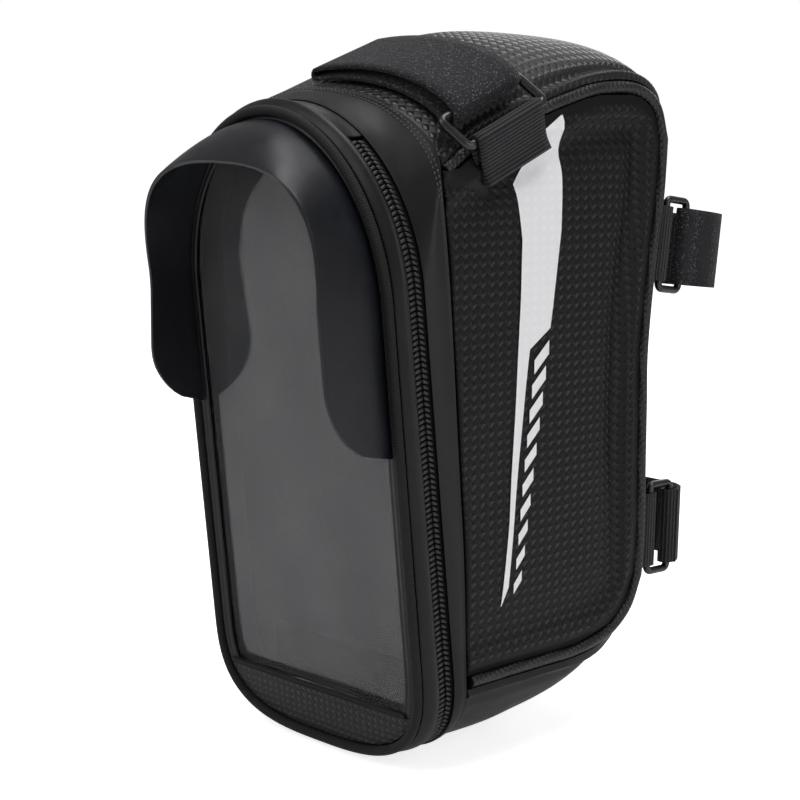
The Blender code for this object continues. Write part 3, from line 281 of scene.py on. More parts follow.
# the side panels take the same laminate's tones made darker: painted shade on the sides
sideLaminate = embossedLaminate("side laminate", laminate["pitch"], laminate["depth"], laminate["shadedSideTones"],
                                laminate["sideShine"], laminate["plainEdge"])
fineEmbossed = embossedLaminate("fine embossed laminate", laminate["finePitch"], laminate["fineDepth"],
                                laminate["tones"], laminate["shine"])
smooth = smoothLaminate("smooth laminate", "0d0d0f", "141417", 0.40)
visorSkin = smoothLaminate("visor sheet", "101116", "16171d", 0.36)
pipingSkin = cordSkin("piping skin")
bindingSkin = ribbedWebbing("binding tape", 0.0008, "101012", "19191c", 0.00004)
webbing = ribbedWebbing("ribbed webbing", 0.00125, "09090a", "3a3a40", 0.00014)
loops = loopTape("loop tape")
lining = plainCloth("lining cloth", "0b0b0c", "0d0d0e", 0.0009, 0.000006)
zipTape = plainCloth("zip tape", "0e0e10", "18181b", 0.0006, 0.00004)
zipRib = mouldedPlastic("zip ribs", "0c0c0e", 0.48)
ringPlastic = mouldedPlastic("ring plastic", "101013", 0.24)
sliderPaint = paintedZinc("slider paint")
film = clearFilm("clear film")
whitePrint = printedWhite("pale print")
thread = mouldedPlastic("sewing thread", "4a4a50", 0.6)
print("materials made")


# Curves

def smoothCurve(points, steps):
    first = [2 * a - b for a, b in zip(points[0], points[1])]
    last = [2 * a - b for a, b in zip(points[-1], points[-2])]
    chain = [first, *points, last]
    curve = []
    for i in range(1, len(chain) - 2):
        for k in range(steps):
            t = k / steps
            curve.append([
                0.5 * (2 * b + (c - a) * t + (2 * a - 5 * b + 4 * c - d) * t * t
                       + (3 * b - a - 3 * c + d) * t ** 3)
                for a, b, c, d in zip(*chain[i - 1:i + 3])])
    curve.append(list(points[-1]))
    return curve


def stepLength(a, b):
    return hypot(b[0] - a[0], b[1] - a[1])


def resample(points, count):
    lengths = [0.0]
    for a, b in zip(points, points[1:]):
        lengths.append(lengths[-1] + stepLength(a, b))
    even = []
    i = 0
    for k in range(count):
        target = lengths[-1] * k / (count - 1)
        while i < len(points) - 2 and lengths[i + 1] < target:
            i += 1
        t = min(max((target - lengths[i]) / max(lengths[i + 1] - lengths[i], 1e-9), 0.0), 1.0)
        even.append([p + (q - p) * t for p, q in zip(points[i], points[i + 1])])
    return even


def trimmed(points, start, end):
    for gap in (start, end):
        points = points[::-1]
        while stepLength(points[-1], points[-2]) < gap:
            gap -= stepLength(points[-1], points[-2])
            points = points[:-1]
        share = gap / stepLength(points[-1], points[-2])
        points = points[:-1] + [[q + (p - q) * share for p, q in zip(points[-2], points[-1])]]
    return points


def normalsOf(route, closed=False):
    # unit normals on the right-hand side of a route in a plane
    found = []
    size = len(route)
    for i in range(size):
        a = route[i - 1] if i or closed else route[0]
        b = route[(i + 1) % size] if i < size - 1 or closed else route[-1]
        length = max(stepLength(a, b), 1e-9)
        found.append(((b[1] - a[1]) / length, (a[0] - b[0]) / length))
    return found


def readCurve(curve, at, key=0, value=1):
    ordered = sorted(curve, key=lambda point: point[key])
    at = min(max(at, ordered[0][key]), ordered[-1][key])
    for a, b in zip(ordered, ordered[1:]):
        if a[key] <= at <= b[key] and b[key] > a[key]:
            return a[value] + (b[value] - a[value]) * (at - a[key]) / (b[key] - a[key])
    return ordered[-1][value]


# The bag's form, as in its solids

form = {
    "panelHalf": 0.0496, "wall": 0.0022, "seamGap": 0.0003, "pipingRadius": 0.0018, "pipingX": 0.0490,
    "mouthHalf": 0.0485, "mouthLow": 0.0330, "mouthHigh": 0.1430, "lidTop": 0.1955, "lidFloor": 0.0007,
    "footPower": 3.0, "zipY": -0.0346, "zipLean": 0.1050,
    "faceHalf": 0.0465, "faceHigh": 0.1385, "faceTop": 0.1935, "faceY": -0.0436, "faceLean": 0.1000,
    "bandLow": 0.0270, "bandHigh": 0.1750, "bandTop": 0.1985, "bandFootY": -0.0305,
}
bandRear = ((0.027, -0.0305), (0.063, -0.0315), (0.0975, -0.0340), (0.145, -0.0375), (0.175, -0.0410))
frontSeam = (
    (-0.0410, 0.1750, 0.0235, 90), (-0.0290, 0.1825, 0.0198, 90), (-0.0130, 0.1885, 0.0198, 90),
    (0.0070, 0.1945, 0.0185, 90), (0.0250, 0.1985, 0.0150, 88), (0.0420, 0.1985, 0.0132, 76),
    (0.0520, 0.1935, 0.0110, 48), (0.0562, 0.1830, 0.0075, 20))
tubeSeam = (
    (0.0562, 0.1830, 0.0075, 20), (0.0548, 0.1650, 0.0040, 4), (0.0510, 0.1420, 0.0030, 0),
    (0.0484, 0.1180, 0.0030, 0), (0.0484, 0.1000, 0.0030, 0), (0.0484, 0.0800, 0.0030, 0),
    (0.0484, 0.0620, 0.0030, 0), (0.0474, 0.0460, 0.0045, -16))
rearSeam = (
    (0.0474, 0.0460, 0.0045, -16), (0.0420, 0.0360, 0.0080, -42), (0.0320, 0.0295, 0.0152, -66),
    (0.0180, 0.0270, 0.0260, -86), (0.0000, 0.0270, 0.0290, -90), (-0.0160, 0.0270, 0.0290, -85),
    (-0.0305, 0.0270, 0.0290, -80.5))
seamSteps = 9


def zipY(z):
    return form["zipY"] - form["zipLean"] * z


def faceY(z):
    return form["faceY"] - form["faceLean"] * z


bandRearCurve = smoothCurve(bandRear, 8)


def bandRearY(z):
    if z < form["bandLow"]:
        return form["bandFootY"] + (form["bandLow"] - z) * tan(radians(9.5))
    return readCurve(bandRearCurve, z)


def straightArch(half, low, high, floor, top, power=2.0, sideSteps=40, archSteps=64):
    points = []
    for k in range(sideSteps):
        points.append((half, low + (high - low) * k / sideSteps))
    for k in range(archSteps):
        turn = pi * k / archSteps
        points.append((half * cos(turn), high + (top - high) * sin(turn)))
    for k in range(sideSteps):
        points.append((-half, high - (high - low) * k / sideSteps))
    for k in range(archSteps):
        turn = pi * k / archSteps
        across = abs(cos(turn)) ** (2 / power) * (1 if turn > pi / 2 else -1)
        points.append((half * across, low - (low - floor) * sin(turn) ** (2 / power)))
    return points


def mouthOutline(inset):
    return straightArch(form["mouthHalf"] - inset, form["mouthLow"], form["mouthHigh"],
                        form["lidFloor"] + inset, form["lidTop"] - inset, form["footPower"])


def faceOutline(inset):
    return straightArch(form["faceHalf"] - inset, form["mouthLow"], form["faceHigh"],
                        form["lidFloor"] + inset, form["faceTop"] - inset, form["footPower"])


def above(ring, footZ, count):
    size = len(ring)
    start = next(i for i in range(size) if ring[i - 1][1] <= footZ < ring[i][1] and ring[i][0] > 0)
    kept = []
    for k in range(size):
        point = ring[(start + k) % size]
        if point[1] <= footZ:
            break
        kept.append(point)
    ends = []
    for a, b in ((ring[start - 1], kept[0]), (ring[(start + len(kept)) % size], kept[-1])):
        t = (footZ - a[1]) / (b[1] - a[1])
        ends.append((a[0] + (b[0] - a[0]) * t, footZ))
    return resample([ends[0], *kept, ends[1]], count)


def ripple(point, scale, size):
    # a small smooth unevenness that depends on the place alone
    return noise.noise(Vector(point) * scale) * size


# Meshes

def pieceFrom(name, shape, finish):
    # the bmesh as an object of the scene with one finish
    mesh = bpy.data.meshes.new(name)
    shape.to_mesh(mesh)
    shape.free()
    mesh.materials.append(finish)
    piece = bpy.data.objects.new(name, mesh)
    bpy.context.scene.collection.objects.link(piece)
    return piece


def roundEdges(piece, width, segments=3, angle=48):
    edge = piece.modifiers.new("edge", "BEVEL")
    edge.width = width
    edge.segments = segments
    edge.limit_method = "ANGLE"
    edge.angle_limit = radians(angle)


def gridPiece(name, rows, finish, closedRows=False, closedColumns=False, caps=False, thickness=0.0,
              offset=-1.0, rounded=0.0, uvAxes=None, centre=(0.0, 0.0, 0.1), seamDistance=None):
    # a surface through rows of points, facing away from centre, with UVs in metres; thickness goes inwards
    shape = bmesh.new()
    made = [[shape.verts.new(point) for point in row] for row in rows]
    layer = shape.loops.layers.uv.new("UVMap")
    alongs = [0.0]
    middle = len(rows[0]) // 2
    for a, b in zip(rows, list(rows[1:]) + [rows[0]]):
        alongs.append(alongs[-1] + (Vector(b[middle]) - Vector(a[middle])).length)
    acrosses = []
    for row in rows:
        line = [0.0]
        for a, b in zip(row, list(row[1:]) + [row[0]]):
            line.append(line[-1] + (Vector(b) - Vector(a)).length)
        half = line[middle] if not closedColumns else 0.0
        acrosses.append([value - half for value in line])
    rowCount = len(rows)
    columnCount = len(rows[0])
    for i in range(rowCount if closedRows else rowCount - 1):
        for j in range(columnCount if closedColumns else columnCount - 1):
            corners = ((i, j), (i, j + 1), (i + 1, j + 1), (i + 1, j))
            face = shape.faces.new([made[r % rowCount][c % columnCount] for r, c in corners])
            face.smooth = True
            for loop, (r, c) in zip(face.loops, corners):
                if uvAxes:
                    loop[layer].uv = (loop.vert.co[uvAxes[0]], loop.vert.co[uvAxes[1]])
                else:
                    loop[layer].uv = (acrosses[r % rowCount][c], alongs[r])
    if caps:
        shape.faces.new(made[0])
        shape.faces.new(made[-1])
    if closedColumns:
        bmesh.ops.recalc_face_normals(shape, faces=shape.faces)
    else:
        shape.normal_update()
        lean = sum(face.normal.dot(face.calc_center_median() - Vector(centre)) for face in shape.faces)
        if lean < 0:
            bmesh.ops.reverse_faces(shape, faces=shape.faces)
    piece = pieceFrom(name, shape, finish)
    if seamDistance:
        stored = piece.data.attributes.new("seamDistance", "FLOAT", "POINT")
        for vertex, value in zip(piece.data.vertices, stored.data):
            value.value = seamDistance(vertex.co)
    if thickness:
        wall = piece.modifiers.new("wall", "SOLIDIFY")
        wall.thickness = thickness
        wall.offset = offset
    if rounded:
        roundEdges(piece, rounded)
    return piece


def sweep(name, route, radius, finish, closed=False, sides=12, shapeOf=None):
    # a round cord along 3-D points, with UV x round it and UV y along it
    size = len(route)
    route = [Vector(point) for point in route]
    normal = None
    rows = []
    for k in range(size):
        before = route[k - 1] if k or closed else route[0]
        after = route[(k + 1) % size] if k < size - 1 or closed else route[-1]
        way = (after - before).normalized()
        if normal is None:
            normal = way.orthogonal().normalized()
        normal = (normal - way * normal.dot(way)).normalized()
        side = way.cross(normal)
        row = []
        for j in range(sides):
            turn = 2 * pi * j / sides
            reach = radius * (shapeOf(k, turn) if shapeOf else 1.0)
            row.append(route[k] + (normal * cos(turn) + side * sin(turn)) * reach)
        rows.append(row)
    return gridPiece(name, rows, finish, closedRows=closed, closedColumns=True, caps=not closed)


def wear(piece, body, slotName, *replaced):
    # the piece rides on a body and stands for the CAD nodes named
    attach(piece, body)
    if replaced:
        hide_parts(*replaced)
    return piece


def dressNode(name, finish, rounding):
    # a CAD node that shows as it is, with a finish and softened edges
    node = nodes[name]
    node.data.materials.clear()
    node.data.materials.append(finish)
    roundEdges(node, rounding, 2, 30)


def stitchLine(name, route, outs, finish, length=0.0024, gap=0.0010, radius=0.00024):
    # a row of stitches pressed into the surface; outs are the surface normals along the route
    route = [Vector(point) for point in route]
    lengths = [0.0]
    for a, b in zip(route, route[1:]):
        lengths.append(lengths[-1] + (b - a).length)

    def at(distance):
        for i in range(len(route) - 1):
            if lengths[i + 1] >= distance:
                t = (distance - lengths[i]) / max(lengths[i + 1] - lengths[i], 1e-9)
                out = Vector(outs[i]).lerp(Vector(outs[i + 1]), t)
                return route[i].lerp(route[i + 1], t), out.normalized()
        return route[-1], Vector(outs[-1]).normalized()

    shape = bmesh.new()
    count = int(lengths[-1] / (length + gap))
    for k in range(count):
        start = k * (length + gap)
        rings = []
        for share, swell, lift in ((0.0, 0.35, -0.7), (0.18, 0.85, 0.25), (0.5, 1.0, 0.55),
                                   (0.82, 0.85, 0.25), (1.0, 0.35, -0.7)):
            point, out = at(start + length * share)
            ahead = at(start + length * share + 0.0004)[0]
            behind = at(start + length * share - 0.0004)[0]
            way = (ahead - behind).normalized()
            side = way.cross(out).normalized()
            ring = []
            for j in range(6):
                turn = 2 * pi * j / 6
                ring.append(shape.verts.new(point + out * (radius * lift + radius * swell * sin(turn))
                                            + side * radius * swell * cos(turn)))
            rings.append(ring)
        for a, b in zip(rings, rings[1:]):
            for j in range(6):
                shape.faces.new((a[j], a[(j + 1) % 6], b[(j + 1) % 6], b[j])).smooth = True
        shape.faces.new(rings[0])
        shape.faces.new(rings[-1])
    bmesh.ops.recalc_face_normals(shape, faces=shape.faces)
    return pieceFrom(name, shape, finish)


# Side panels

sidePanel = {"rows": 130, "columns": 84, "rim": 0.0012, "rimAt": 0.0048, "rimWidth": 0.0026, "valley": 0.0017,
             "valleyAt": 0.0120, "valleyWidth": 0.0042, "pillow": 0.0009, "pillowReach": 0.025,
             "straightTop": 0.176}
patch = {"edge": ((-0.0457, 0.1753), (-0.0419, 0.1735), (-0.0264, 0.1703), (-0.0215, 0.1668)), "rise": 0.0007,
         "slope": 0.0012, "lap": 0.0006}


def sideSeam():
    chain = smoothCurve(frontSeam, seamSteps) + smoothCurve(tubeSeam, seamSteps)[1:]
    chain += smoothCurve(rearSeam, seamSteps)[1:]
    return [(y, z) for y, z, rise, heading in chain]


sideInset = form["pipingRadius"] + form["seamGap"]
seamLine = sideSeam()
seamInside = [(y + ny * sideInset, z + nz * sideInset)
              for (y, z), (ny, nz) in zip(seamLine, normalsOf(seamLine))]


def toSeam(y, z):
    return min(hypot(y - a, z - b) for a, b in seamInside)


def outsidePatch(y, z):
    # distance from the smooth patch that the ring's tab is sewn to, in the panel's front corner; the patch is
    # on the right side only and is partly painted shade, its plain surface kept dark without the check's
    # painted highlight
    return max(readCurve(patch["edge"], y) - z, y - patch["edge"][-1][0])


def sideHeight(y, z, patched=False):
    # how far the padded side panel stands out at (y, z)
    near = toSeam(y, z)
    raised = patch["rise"] * min(max(-outsidePatch(y, z) / patch["slope"], 0.0), 1.0) if patched else 0.0
    fade = min(max((z - 0.035) / 0.05, 0.0), 1.0)
    rim = sidePanel["rim"] * exp(-((near - sidePanel["rimAt"]) / sidePanel["rimWidth"]) ** 2)
    valley = sidePanel["valley"] * exp(-((near - sidePanel["valleyAt"]) / sidePanel["valleyWidth"]) ** 2)
    pillow = sidePanel["pillow"] * min(near / sidePanel["pillowReach"], 1.0)
    awayFromZip = 1.0 if y > -0.02 else max(0.0, 1 - (-0.02 - y) / 0.01)
    return rim - valley * fade * awayFromZip + pillow + raised + ripple((0.0, y, z), 34.0, 0.0005)


def sideRows():
    foot = form["bandLow"] + sideInset
    head = max(z for y, z in seamInside)
    levels = [foot + (sidePanel["straightTop"] - foot) * k / 40 for k in range(41)]
    outline = [(bandRearY(z) + form["seamGap"], z) for z in levels]
    outline += [(y, z) for y, z in seamInside[1:] if y > bandRearY(z) + 0.0012]
    outline = [(y, min(max(z, foot), head)) for y, z in outline]
    rows = []
    for i in range(sidePanel["rows"] + 1):
        share = i / sidePanel["rows"]
        z = foot + 0.00002 + (head - foot - 0.0004) * sin(share * pi / 2) ** 0.9
        crossings = []
        for a, b in zip(outline, outline[1:] + outline[:1]):
            if (a[1] - z) * (b[1] - z) < 0:
                crossings.append(a[0] + (b[0] - a[0]) * (z - a[1]) / (b[1] - a[1]))
        low, high = min(crossings), max(crossings)
        rows.append([(low + (high - low) * j / sidePanel["columns"], z)
                     for j in range(sidePanel["columns"] + 1)])
    return rows


flatRows = sideRows()
for name, side in (("Right", 1), ("Left", -1)):
    rows = [[(side * (form["panelHalf"] + sideHeight(y, z, side > 0)), y, z) for y, z in row]
            for row in flatRows]

    def plainness(point, patched=side > 0):
        # below the laminate's plain edge near the seam and on the patch, so that the check stays off them
        near = toSeam(point.y, point.z)
        past = outsidePatch(point.y, point.z) + laminate["plainEdge"] - patch["lap"]
        return min(near, max(past, 0.0)) if patched else near

    piece = gridPiece(f"sidePanel{name}", rows, sideLaminate, thickness=form["wall"], uvAxes=(1, 2),
                      centre=(0.0, 0.0, 0.1), seamDistance=plainness)
    wear(piece, "bag", "embossed", f"side_panel_{name.lower()}")
print("side panels made")


# Printed stripe on the side panels

stripe = {"lift": 0.00022, "rows": 70, "columns": 8}
# the stripe's two edges as (z, y)
stripeLeft = ((0.0478, -0.0172), (0.0734, -0.0138), (0.1030, -0.0117), (0.1381, -0.0097), (0.1554, -0.0092),
              (0.1713, -0.0120), (0.1760, -0.0078), (0.1807, -0.0008), (0.1868, 0.0000), (0.1909, 0.0078))
stripeRight = ((0.0478, -0.0170), (0.0530, -0.0142), (0.1120, -0.0072), (0.1231, -0.0056), (0.1288, 0.0030),
               (0.1575, 0.0077), (0.1808, 0.0084), (0.1909, 0.0083))
dash = {"count": 10, "top": (0.1253, 0.0026), "bottom": (0.0574, -0.0085), "width": 0.0062,
        "height": 0.0042, "slope": 0.0056, "narrow": 0.55, "shorten": 0.25, "flatten": 0.35}


def printPiece(name, side):
    # the stripe and its dashes, just proud of the panel, each dash smaller than the one above
    shape = bmesh.new()
    layer = shape.loops.layers.uv.new("UVMap")

    def printRows(rows):
        made = []
        for row in rows:
            proud = [form["panelHalf"] + sideHeight(y, z) + stripe["lift"] for y, z in row]
            made.append([shape.verts.new((side * x, y, z)) for x, (y, z) in zip(proud, row)])
        for a, b in zip(made, made[1:]):
            for j in range(len(a) - 1):
                face = shape.faces.new((a[j], a[j + 1], b[j + 1], b[j]))
                face.smooth = True
                for loop in face.loops:
                    loop[layer].uv = (loop.vert.co.y, loop.vert.co.z)

    low = stripeLeft[0][0]
    high = stripeLeft[-1][0]
    levels = sorted({low + (high - low) * k / stripe["rows"] for k in range(stripe["rows"] + 1)}
                    | {point[0] for point in stripeLeft + stripeRight})
    rows = []
    for z in levels:
        left = readCurve(stripeLeft, z)
        right = readCurve(stripeRight, z)
        rows.append([(left + (right - left) * j / stripe["columns"], z)
                     for j in range(stripe["columns"] + 1)])
    printRows(rows)
    for k in range(dash["count"]):
        t = k / (dash["count"] - 1)
        topZ = dash["top"][0] + (dash["bottom"][0] - dash["top"][0]) * t
        rightY = dash["top"][1] + (dash["bottom"][1] - dash["top"][1]) * t
        width = dash["width"] * (1 - (1 - dash["narrow"]) * t)
        height = dash["height"] * (1 - dash["shorten"] * t)
        slope = dash["slope"] * (1 - dash["flatten"] * t)
        rows = []
        for i in range(4):
            rows.append([(rightY - width * (1 - j / 4), topZ - height * i / 3 - slope * (1 - j / 4))
                         for j in range(5)])
        printRows(rows)
    shape.normal_update()
    if sum(face.normal.x for face in shape.faces) * side < 0:
        bmesh.ops.reverse_faces(shape, faces=shape.faces)
    return pieceFrom(name, shape, whitePrint)


for name, side in (("Right", 1), ("Left", -1)):
    wear(printPiece(f"sidePrint{name}", side), "bag", "embossed")
print("prints made")


# Crowned panels

crown = {"columns": 64, "crowding": 0.045, "roll": 0.0010, "rollAt": 0.0021, "rollWidth": 0.0011,
         "groove": 0.0010, "grooveAt": 0.0046, "grooveWidth": 0.0013, "rounded": 0.0004}


def crownProfile(rise, skew, columns):
    # a half ellipse between the two pipings, with a roll and a groove along each seam
    half = form["panelHalf"]

    def outer(turn):
        return Vector((half * cos(turn), rise * sin(turn)))

    def away(turn):
        return Vector((rise * cos(turn), half * sin(turn))).normalized()

    start = 0.0
    clear = form["pipingRadius"] + form["seamGap"]
    while start < pi / 2:
        wall = [outer(start) - away(start) * form["wall"] * k / 6 for k in range(7)]
        nearest = min(hypot(point.x - form["pipingX"], point.y * skew) for point in wall)
        if nearest > clear and (outer(start).y > clear or outer(start).x < form["pipingX"]):
            break
        start += 0.004
    turns = []
    for k in range(columns + 1):
        share = k / columns
        share -= crown["crowding"] * sin(2 * pi * share)
        turns.append(start + (pi - 2 * start) * share)
    points = [outer(turn) for turn in turns]
    lengths = [0.0]
    for a, b in zip(points, points[1:]):
        lengths.append(lengths[-1] + (b - a).length)
    shaped = []
    for point, turn, length in zip(points, turns, lengths):
        near = min(length, lengths[-1] - length)
        lift = crown["roll"] * exp(-((near - crown["rollAt"]) / crown["rollWidth"]) ** 2)
        lift -= crown["groove"] * exp(-((near - crown["grooveAt"]) / crown["grooveWidth"]) ** 2)
        shaped.append(point + away(turn) * lift)
    return shaped


def crownRows(seam, startGap, endGap, waves):
    stations = trimmed(smoothCurve(seam, seamSteps), startGap, endGap)
    rows = []
    for (y, z, rise, heading), (ny, nz) in zip(stations, normalsOf(stations)):
        outY = cos(radians(heading))
        outZ = sin(radians(heading))
        row = []
        for point in crownProfile(rise, -(ny * outY + nz * outZ), crown["columns"]):
            rest = (point.x, y + point.y * outY, z + point.y * outZ)
            lift = ripple(rest, 30.0, waves) * min(point.y / 0.006, 1.0)
            row.append((point.x, rest[1] + lift * outY, max(rest[2] + lift * outZ, 0.0)))
        rows.append(row)
    return rows


halfGap = form["seamGap"] / 2
# changes to the rise at some stations of a seam
fuller = {3: 0.0026, 4: 0.0031, 5: 0.0017, 6: 0.0007}
shallower = {1: -0.0011, 2: -0.0026, 3: -0.0024, 4: -0.0010}


def reshaped(seam, changes):
    return [(y, z, rise + changes.get(k, 0.0), heading) for k, (y, z, rise, heading) in enumerate(seam)]


for name, cadName, seam, gaps, finish, slotName, waves in (
        ("frontEndPanel", "front_end_panel", reshaped(frontSeam, fuller), (form["seamGap"], halfGap),
         embossed, "embossed", 0.0012),
        ("tubeSidePanel", "tube_side_panel", tubeSeam, (halfGap, halfGap), embossed, "embossed", 0.0004),
        ("rearEndPanel", "rear_end_panel", reshaped(rearSeam, shallower), (halfGap, form["seamGap"]),
         smooth, "smooth", 0.0006)):
    piece = gridPiece(name, crownRows(seam, *gaps, waves), finish, thickness=form["wall"],
                      rounded=crown["rounded"])
    wear(piece, "bag", slotName, cadName)
print("crowned panels made")


# Piping

seamTape = {"inward": 0.0014, "aside": 0.0028, "radius": 0.0021, "ends": 0.0030}

for name, side in (("Right", 1), ("Left", -1)):
    route = trimmed(sideSeam(), form["pipingRadius"], form["pipingRadius"])
    route = resample(route, 260)
    piece = sweep(f"piping{name}", [(side * form["pipingX"], y, z) for y, z in route],
                  form["pipingRadius"], pipingSkin, sides=16)
    wear(piece, "bag", "piping", f"piping_{name.lower()}")
    # the tape that binds the seam's raw edges inside
    route = sideSeam()
    inner = [(y + ny * seamTape["inward"], z + nz * seamTape["inward"]) for (y, z), (ny, nz)
             in zip(route, normalsOf(route))]
    inner = resample(trimmed(inner, seamTape["ends"], seamTape["ends"]), 160)
    x = side * (form["pipingX"] - seamTape["aside"])
    piece = sweep(f"seamTape{name}", [(x, y, z) for y, z in inner], seamTape["radius"], lining, sides=10)
    wear(piece, "bag", "lining")
print("piping and seam tape made")


# Lid wall and zip band

lip = {"recess": 0.0031, "columns": 14, "bulge": 0.0005, "rounded": 0.0006, "wrinkle": 0.0007,
       "bead": 0.0005, "beadAt": 0.93, "beadWidth": 0.05}
binding = {"radius": 0.0012, "inset": 0.0010, "proud": 0.0002, "drawn": 0.0015}


def lidWallRows():
    # from the binding at the lid's face back to the zip
    frontGap = binding["radius"] - binding["proud"] + form["seamGap"]
    rows = []
    outline = mouthOutline(0.0)
    for (x, z), (a, b), (nx, nz) in zip(faceOutline(0.0), outline, normalsOf(outline, True)):
        front = faceY(z) + frontGap
        rear = zipY(b) - lip["recess"]
        row = []
        for j in range(lip["columns"] + 1):
            t = j / lip["columns"]
            across = 1 - (1 - t) ** 2.3
            out = lip["bulge"] * sin(pi * t) + ripple((x, front, z), 26.0, 0.0004) * sin(pi * t)
            if b < 0.03:
                out *= max(b / 0.03, 0.0)
            row.append((x + (a - x) * across + nx * out, front + (rear - front) * t,
                        z + (b - z) * across + nz * out))
        rows.append(row)
    return rows


def zipBandRows():
    # from the zip back to the side panels, creased a little over the front end
    lowRise = form["bandLow"] + 0.002
    rears = straightArch(form["panelHalf"], form["bandLow"], form["bandHigh"],
                         form["bandLow"] - lowRise, form["bandTop"])
    outline = mouthOutline(0.0)
    rows = []
    for (x, z), (a, b), (nx, nz) in zip(outline, rears, normalsOf(outline, True)):
        front = zipY(z) + lip["recess"]
        rear = bandRearY(b) - form["seamGap"]
        b = max(b, 0.0)
        row = []
        for j in range(lip["columns"] + 1):
            t = j / lip["columns"]
            out = lip["bulge"] * 1.4 * sin(pi * t)
            high = min(max((z - 0.10) / 0.08, 0.0), 1.0)
            crease = noise.noise(Vector((x * 46, (front + (rear - front) * t) * 150, z * 46)))
            out += crease * lip["wrinkle"] * high * sin(pi * t)
            out += lip["bead"] * exp(-((t - lip["beadAt"]) / lip["beadWidth"]) ** 2)
            if z < 0.03:
                out *= max(z / 0.03, 0.0)
            row.append((x + (a - x) * t + nx * out, front + (rear - front) * t,
                        max(z + (b - z) * t + nz * out, 0.0)))
        rows.append(row)
    return rows


piece = gridPiece("lidWall", lidWallRows(), smooth, closedRows=True, thickness=form["wall"],
                  rounded=lip["rounded"], centre=(0.0, -0.048, 0.1))
wear(piece, "lid", "smooth", "lid_wall")
piece = gridPiece("zipBand", zipBandRows(), smooth, closedRows=True, thickness=form["wall"],
                  rounded=lip["rounded"], centre=(0.0, -0.04, 0.1))
wear(piece, "bag", "smooth", "zip_band")

bindingRoute = [(x, faceY(z) - binding["proud"], z) for x, z in faceOutline(binding["inset"])]
piece = sweep("lidBinding", bindingRoute, binding["drawn"], bindingSkin, closed=True, sides=16)
wear(piece, "lid", "piping", "lid_binding")
print("lid wall, zip band and binding made")


# Zip

zipForm = {"gap": 0.00025, "reach": 0.0026, "tapeReach": 0.0033, "ribTop": 0.0004, "valley": 0.0012,
           "tapeDepth": 0.0006, "tapeThickness": 0.0020, "pitch": 0.0016, "ribWidth": 0.0011,
           "slant": 0.0004, "hingeHalf": 0.0270, "sliderEdge": 0.00018}


def zipRoute():
    ring = mouthOutline(0.0)
    start = max(i for i, (x, z) in enumerate(ring) if x > zipForm["hingeHalf"] and z > form["mouthHigh"])
    turned = ring[start::-1] + ring[:start:-1]
    return [point for point in turned if point[1] < form["mouthHigh"] or abs(point[0]) > zipForm["hingeHalf"]]


def zipTapeRows(side):
    route = resample(zipRoute(), 260)
    rows = []
    floor = zipForm["tapeDepth"] + zipForm["tapeThickness"]
    for (x, z), (nx, nz) in zip(route, normalsOf(route)):
        section = ((floor, zipForm["gap"]), (zipForm["valley"], zipForm["gap"]),
                   (zipForm["valley"], zipForm["reach"]), (zipForm["tapeDepth"], zipForm["tapeReach"]),
                   (floor, zipForm["tapeReach"]))
        rows.append([(x + nx * depth, zipY(z + nz * depth) + side * reach, z + nz * depth)
                     for depth, reach in section])
    return rows


def zipRibs(name, side):
    # one row of teeth, each a small block with a sloping top
    ring = zipRoute()
    length = sum(stepLength(a, b) for a, b in zip(ring, ring[1:]))
    count = int(length / zipForm["pitch"])
    route = resample(ring, count + 1)
    ways = normalsOf(route)
    shape = bmesh.new()
    for (x, z), (nx, nz) in zip(route[1:-1], ways[1:-1]):
        along = Vector((-nz, 0.0, nx))
        inward = Vector((nx, 0.0, nz))
        rings = []
        for share, swell in ((0.0, 0.55), (0.12, 1.0), (0.5, 1.0), (0.85, 0.9), (1.0, 0.4)):
            reach = zipForm["gap"] + (zipForm["reach"] - zipForm["gap"]) * share
            shift = zipForm["slant"] * (share - 0.5) * 2
            ring = []
            for u, v in ((-0.5, 1.0), (-0.5, 0.35), (-0.28, 0.0), (0.28, 0.0), (0.5, 0.35), (0.5, 1.0)):
                depth = zipForm["ribTop"] + (zipForm["valley"] - zipForm["ribTop"]) * (1 - (1 - v) * swell)
                point = Vector((x, zipY(z), z)) + inward * depth
                point += along * (u * zipForm["ribWidth"] * swell + shift)
                point.y += side * reach
                ring.append(shape.verts.new(point))
            rings.append(ring)
        for a, b in zip(rings, rings[1:]):
            for j in range(5):
                shape.faces.new((a[j], a[j + 1], b[j + 1], b[j])).smooth = True
            shape.faces.new((a[5], a[0], b[0], b[5]))
        shape.faces.new(rings[0])
        shape.faces.new(rings[-1])
    bmesh.ops.recalc_face_normals(shape, faces=shape.faces)
    return pieceFrom(name, shape, zipRib)


for name, side, body, cadName in (("lid", -1, "lid", "lid_zip_tape"), ("body", 1, "bag", "body_zip_tape")):
    piece = gridPiece(f"{name}ZipTape", zipTapeRows(side), zipTape, closedColumns=True, caps=True)
    wear(piece, body, "zip_tape", cadName)
    wear(zipRibs(f"{name}ZipRibs", side), body, "zip_tape")


hinge = {"half": 0.0280, "reach": 0.0034, "sunk": 0.0003, "bend": 0.0030, "thickness": 0.0009,
         "rounded": 0.0003}


def hingeRows():
    # the uncut fold that the lid turns on, over the gap between the zip's ends
    rows = []
    half = form["mouthHalf"] - hinge["sunk"]
    rise = form["lidTop"] - form["mouthHigh"] - hinge["sunk"]
    for k in range(41):
        x = hinge["half"] - 2 * hinge["half"] * k / 40
        z = form["mouthHigh"] + rise * sqrt(1 - (x / half) ** 2)
        rows.append([(x, zipY(z) + hinge["reach"] * (t - 4) / 4, z - hinge["sunk"] * (1 - abs(t - 4) / 4))
                     for t in range(9)])
    return rows


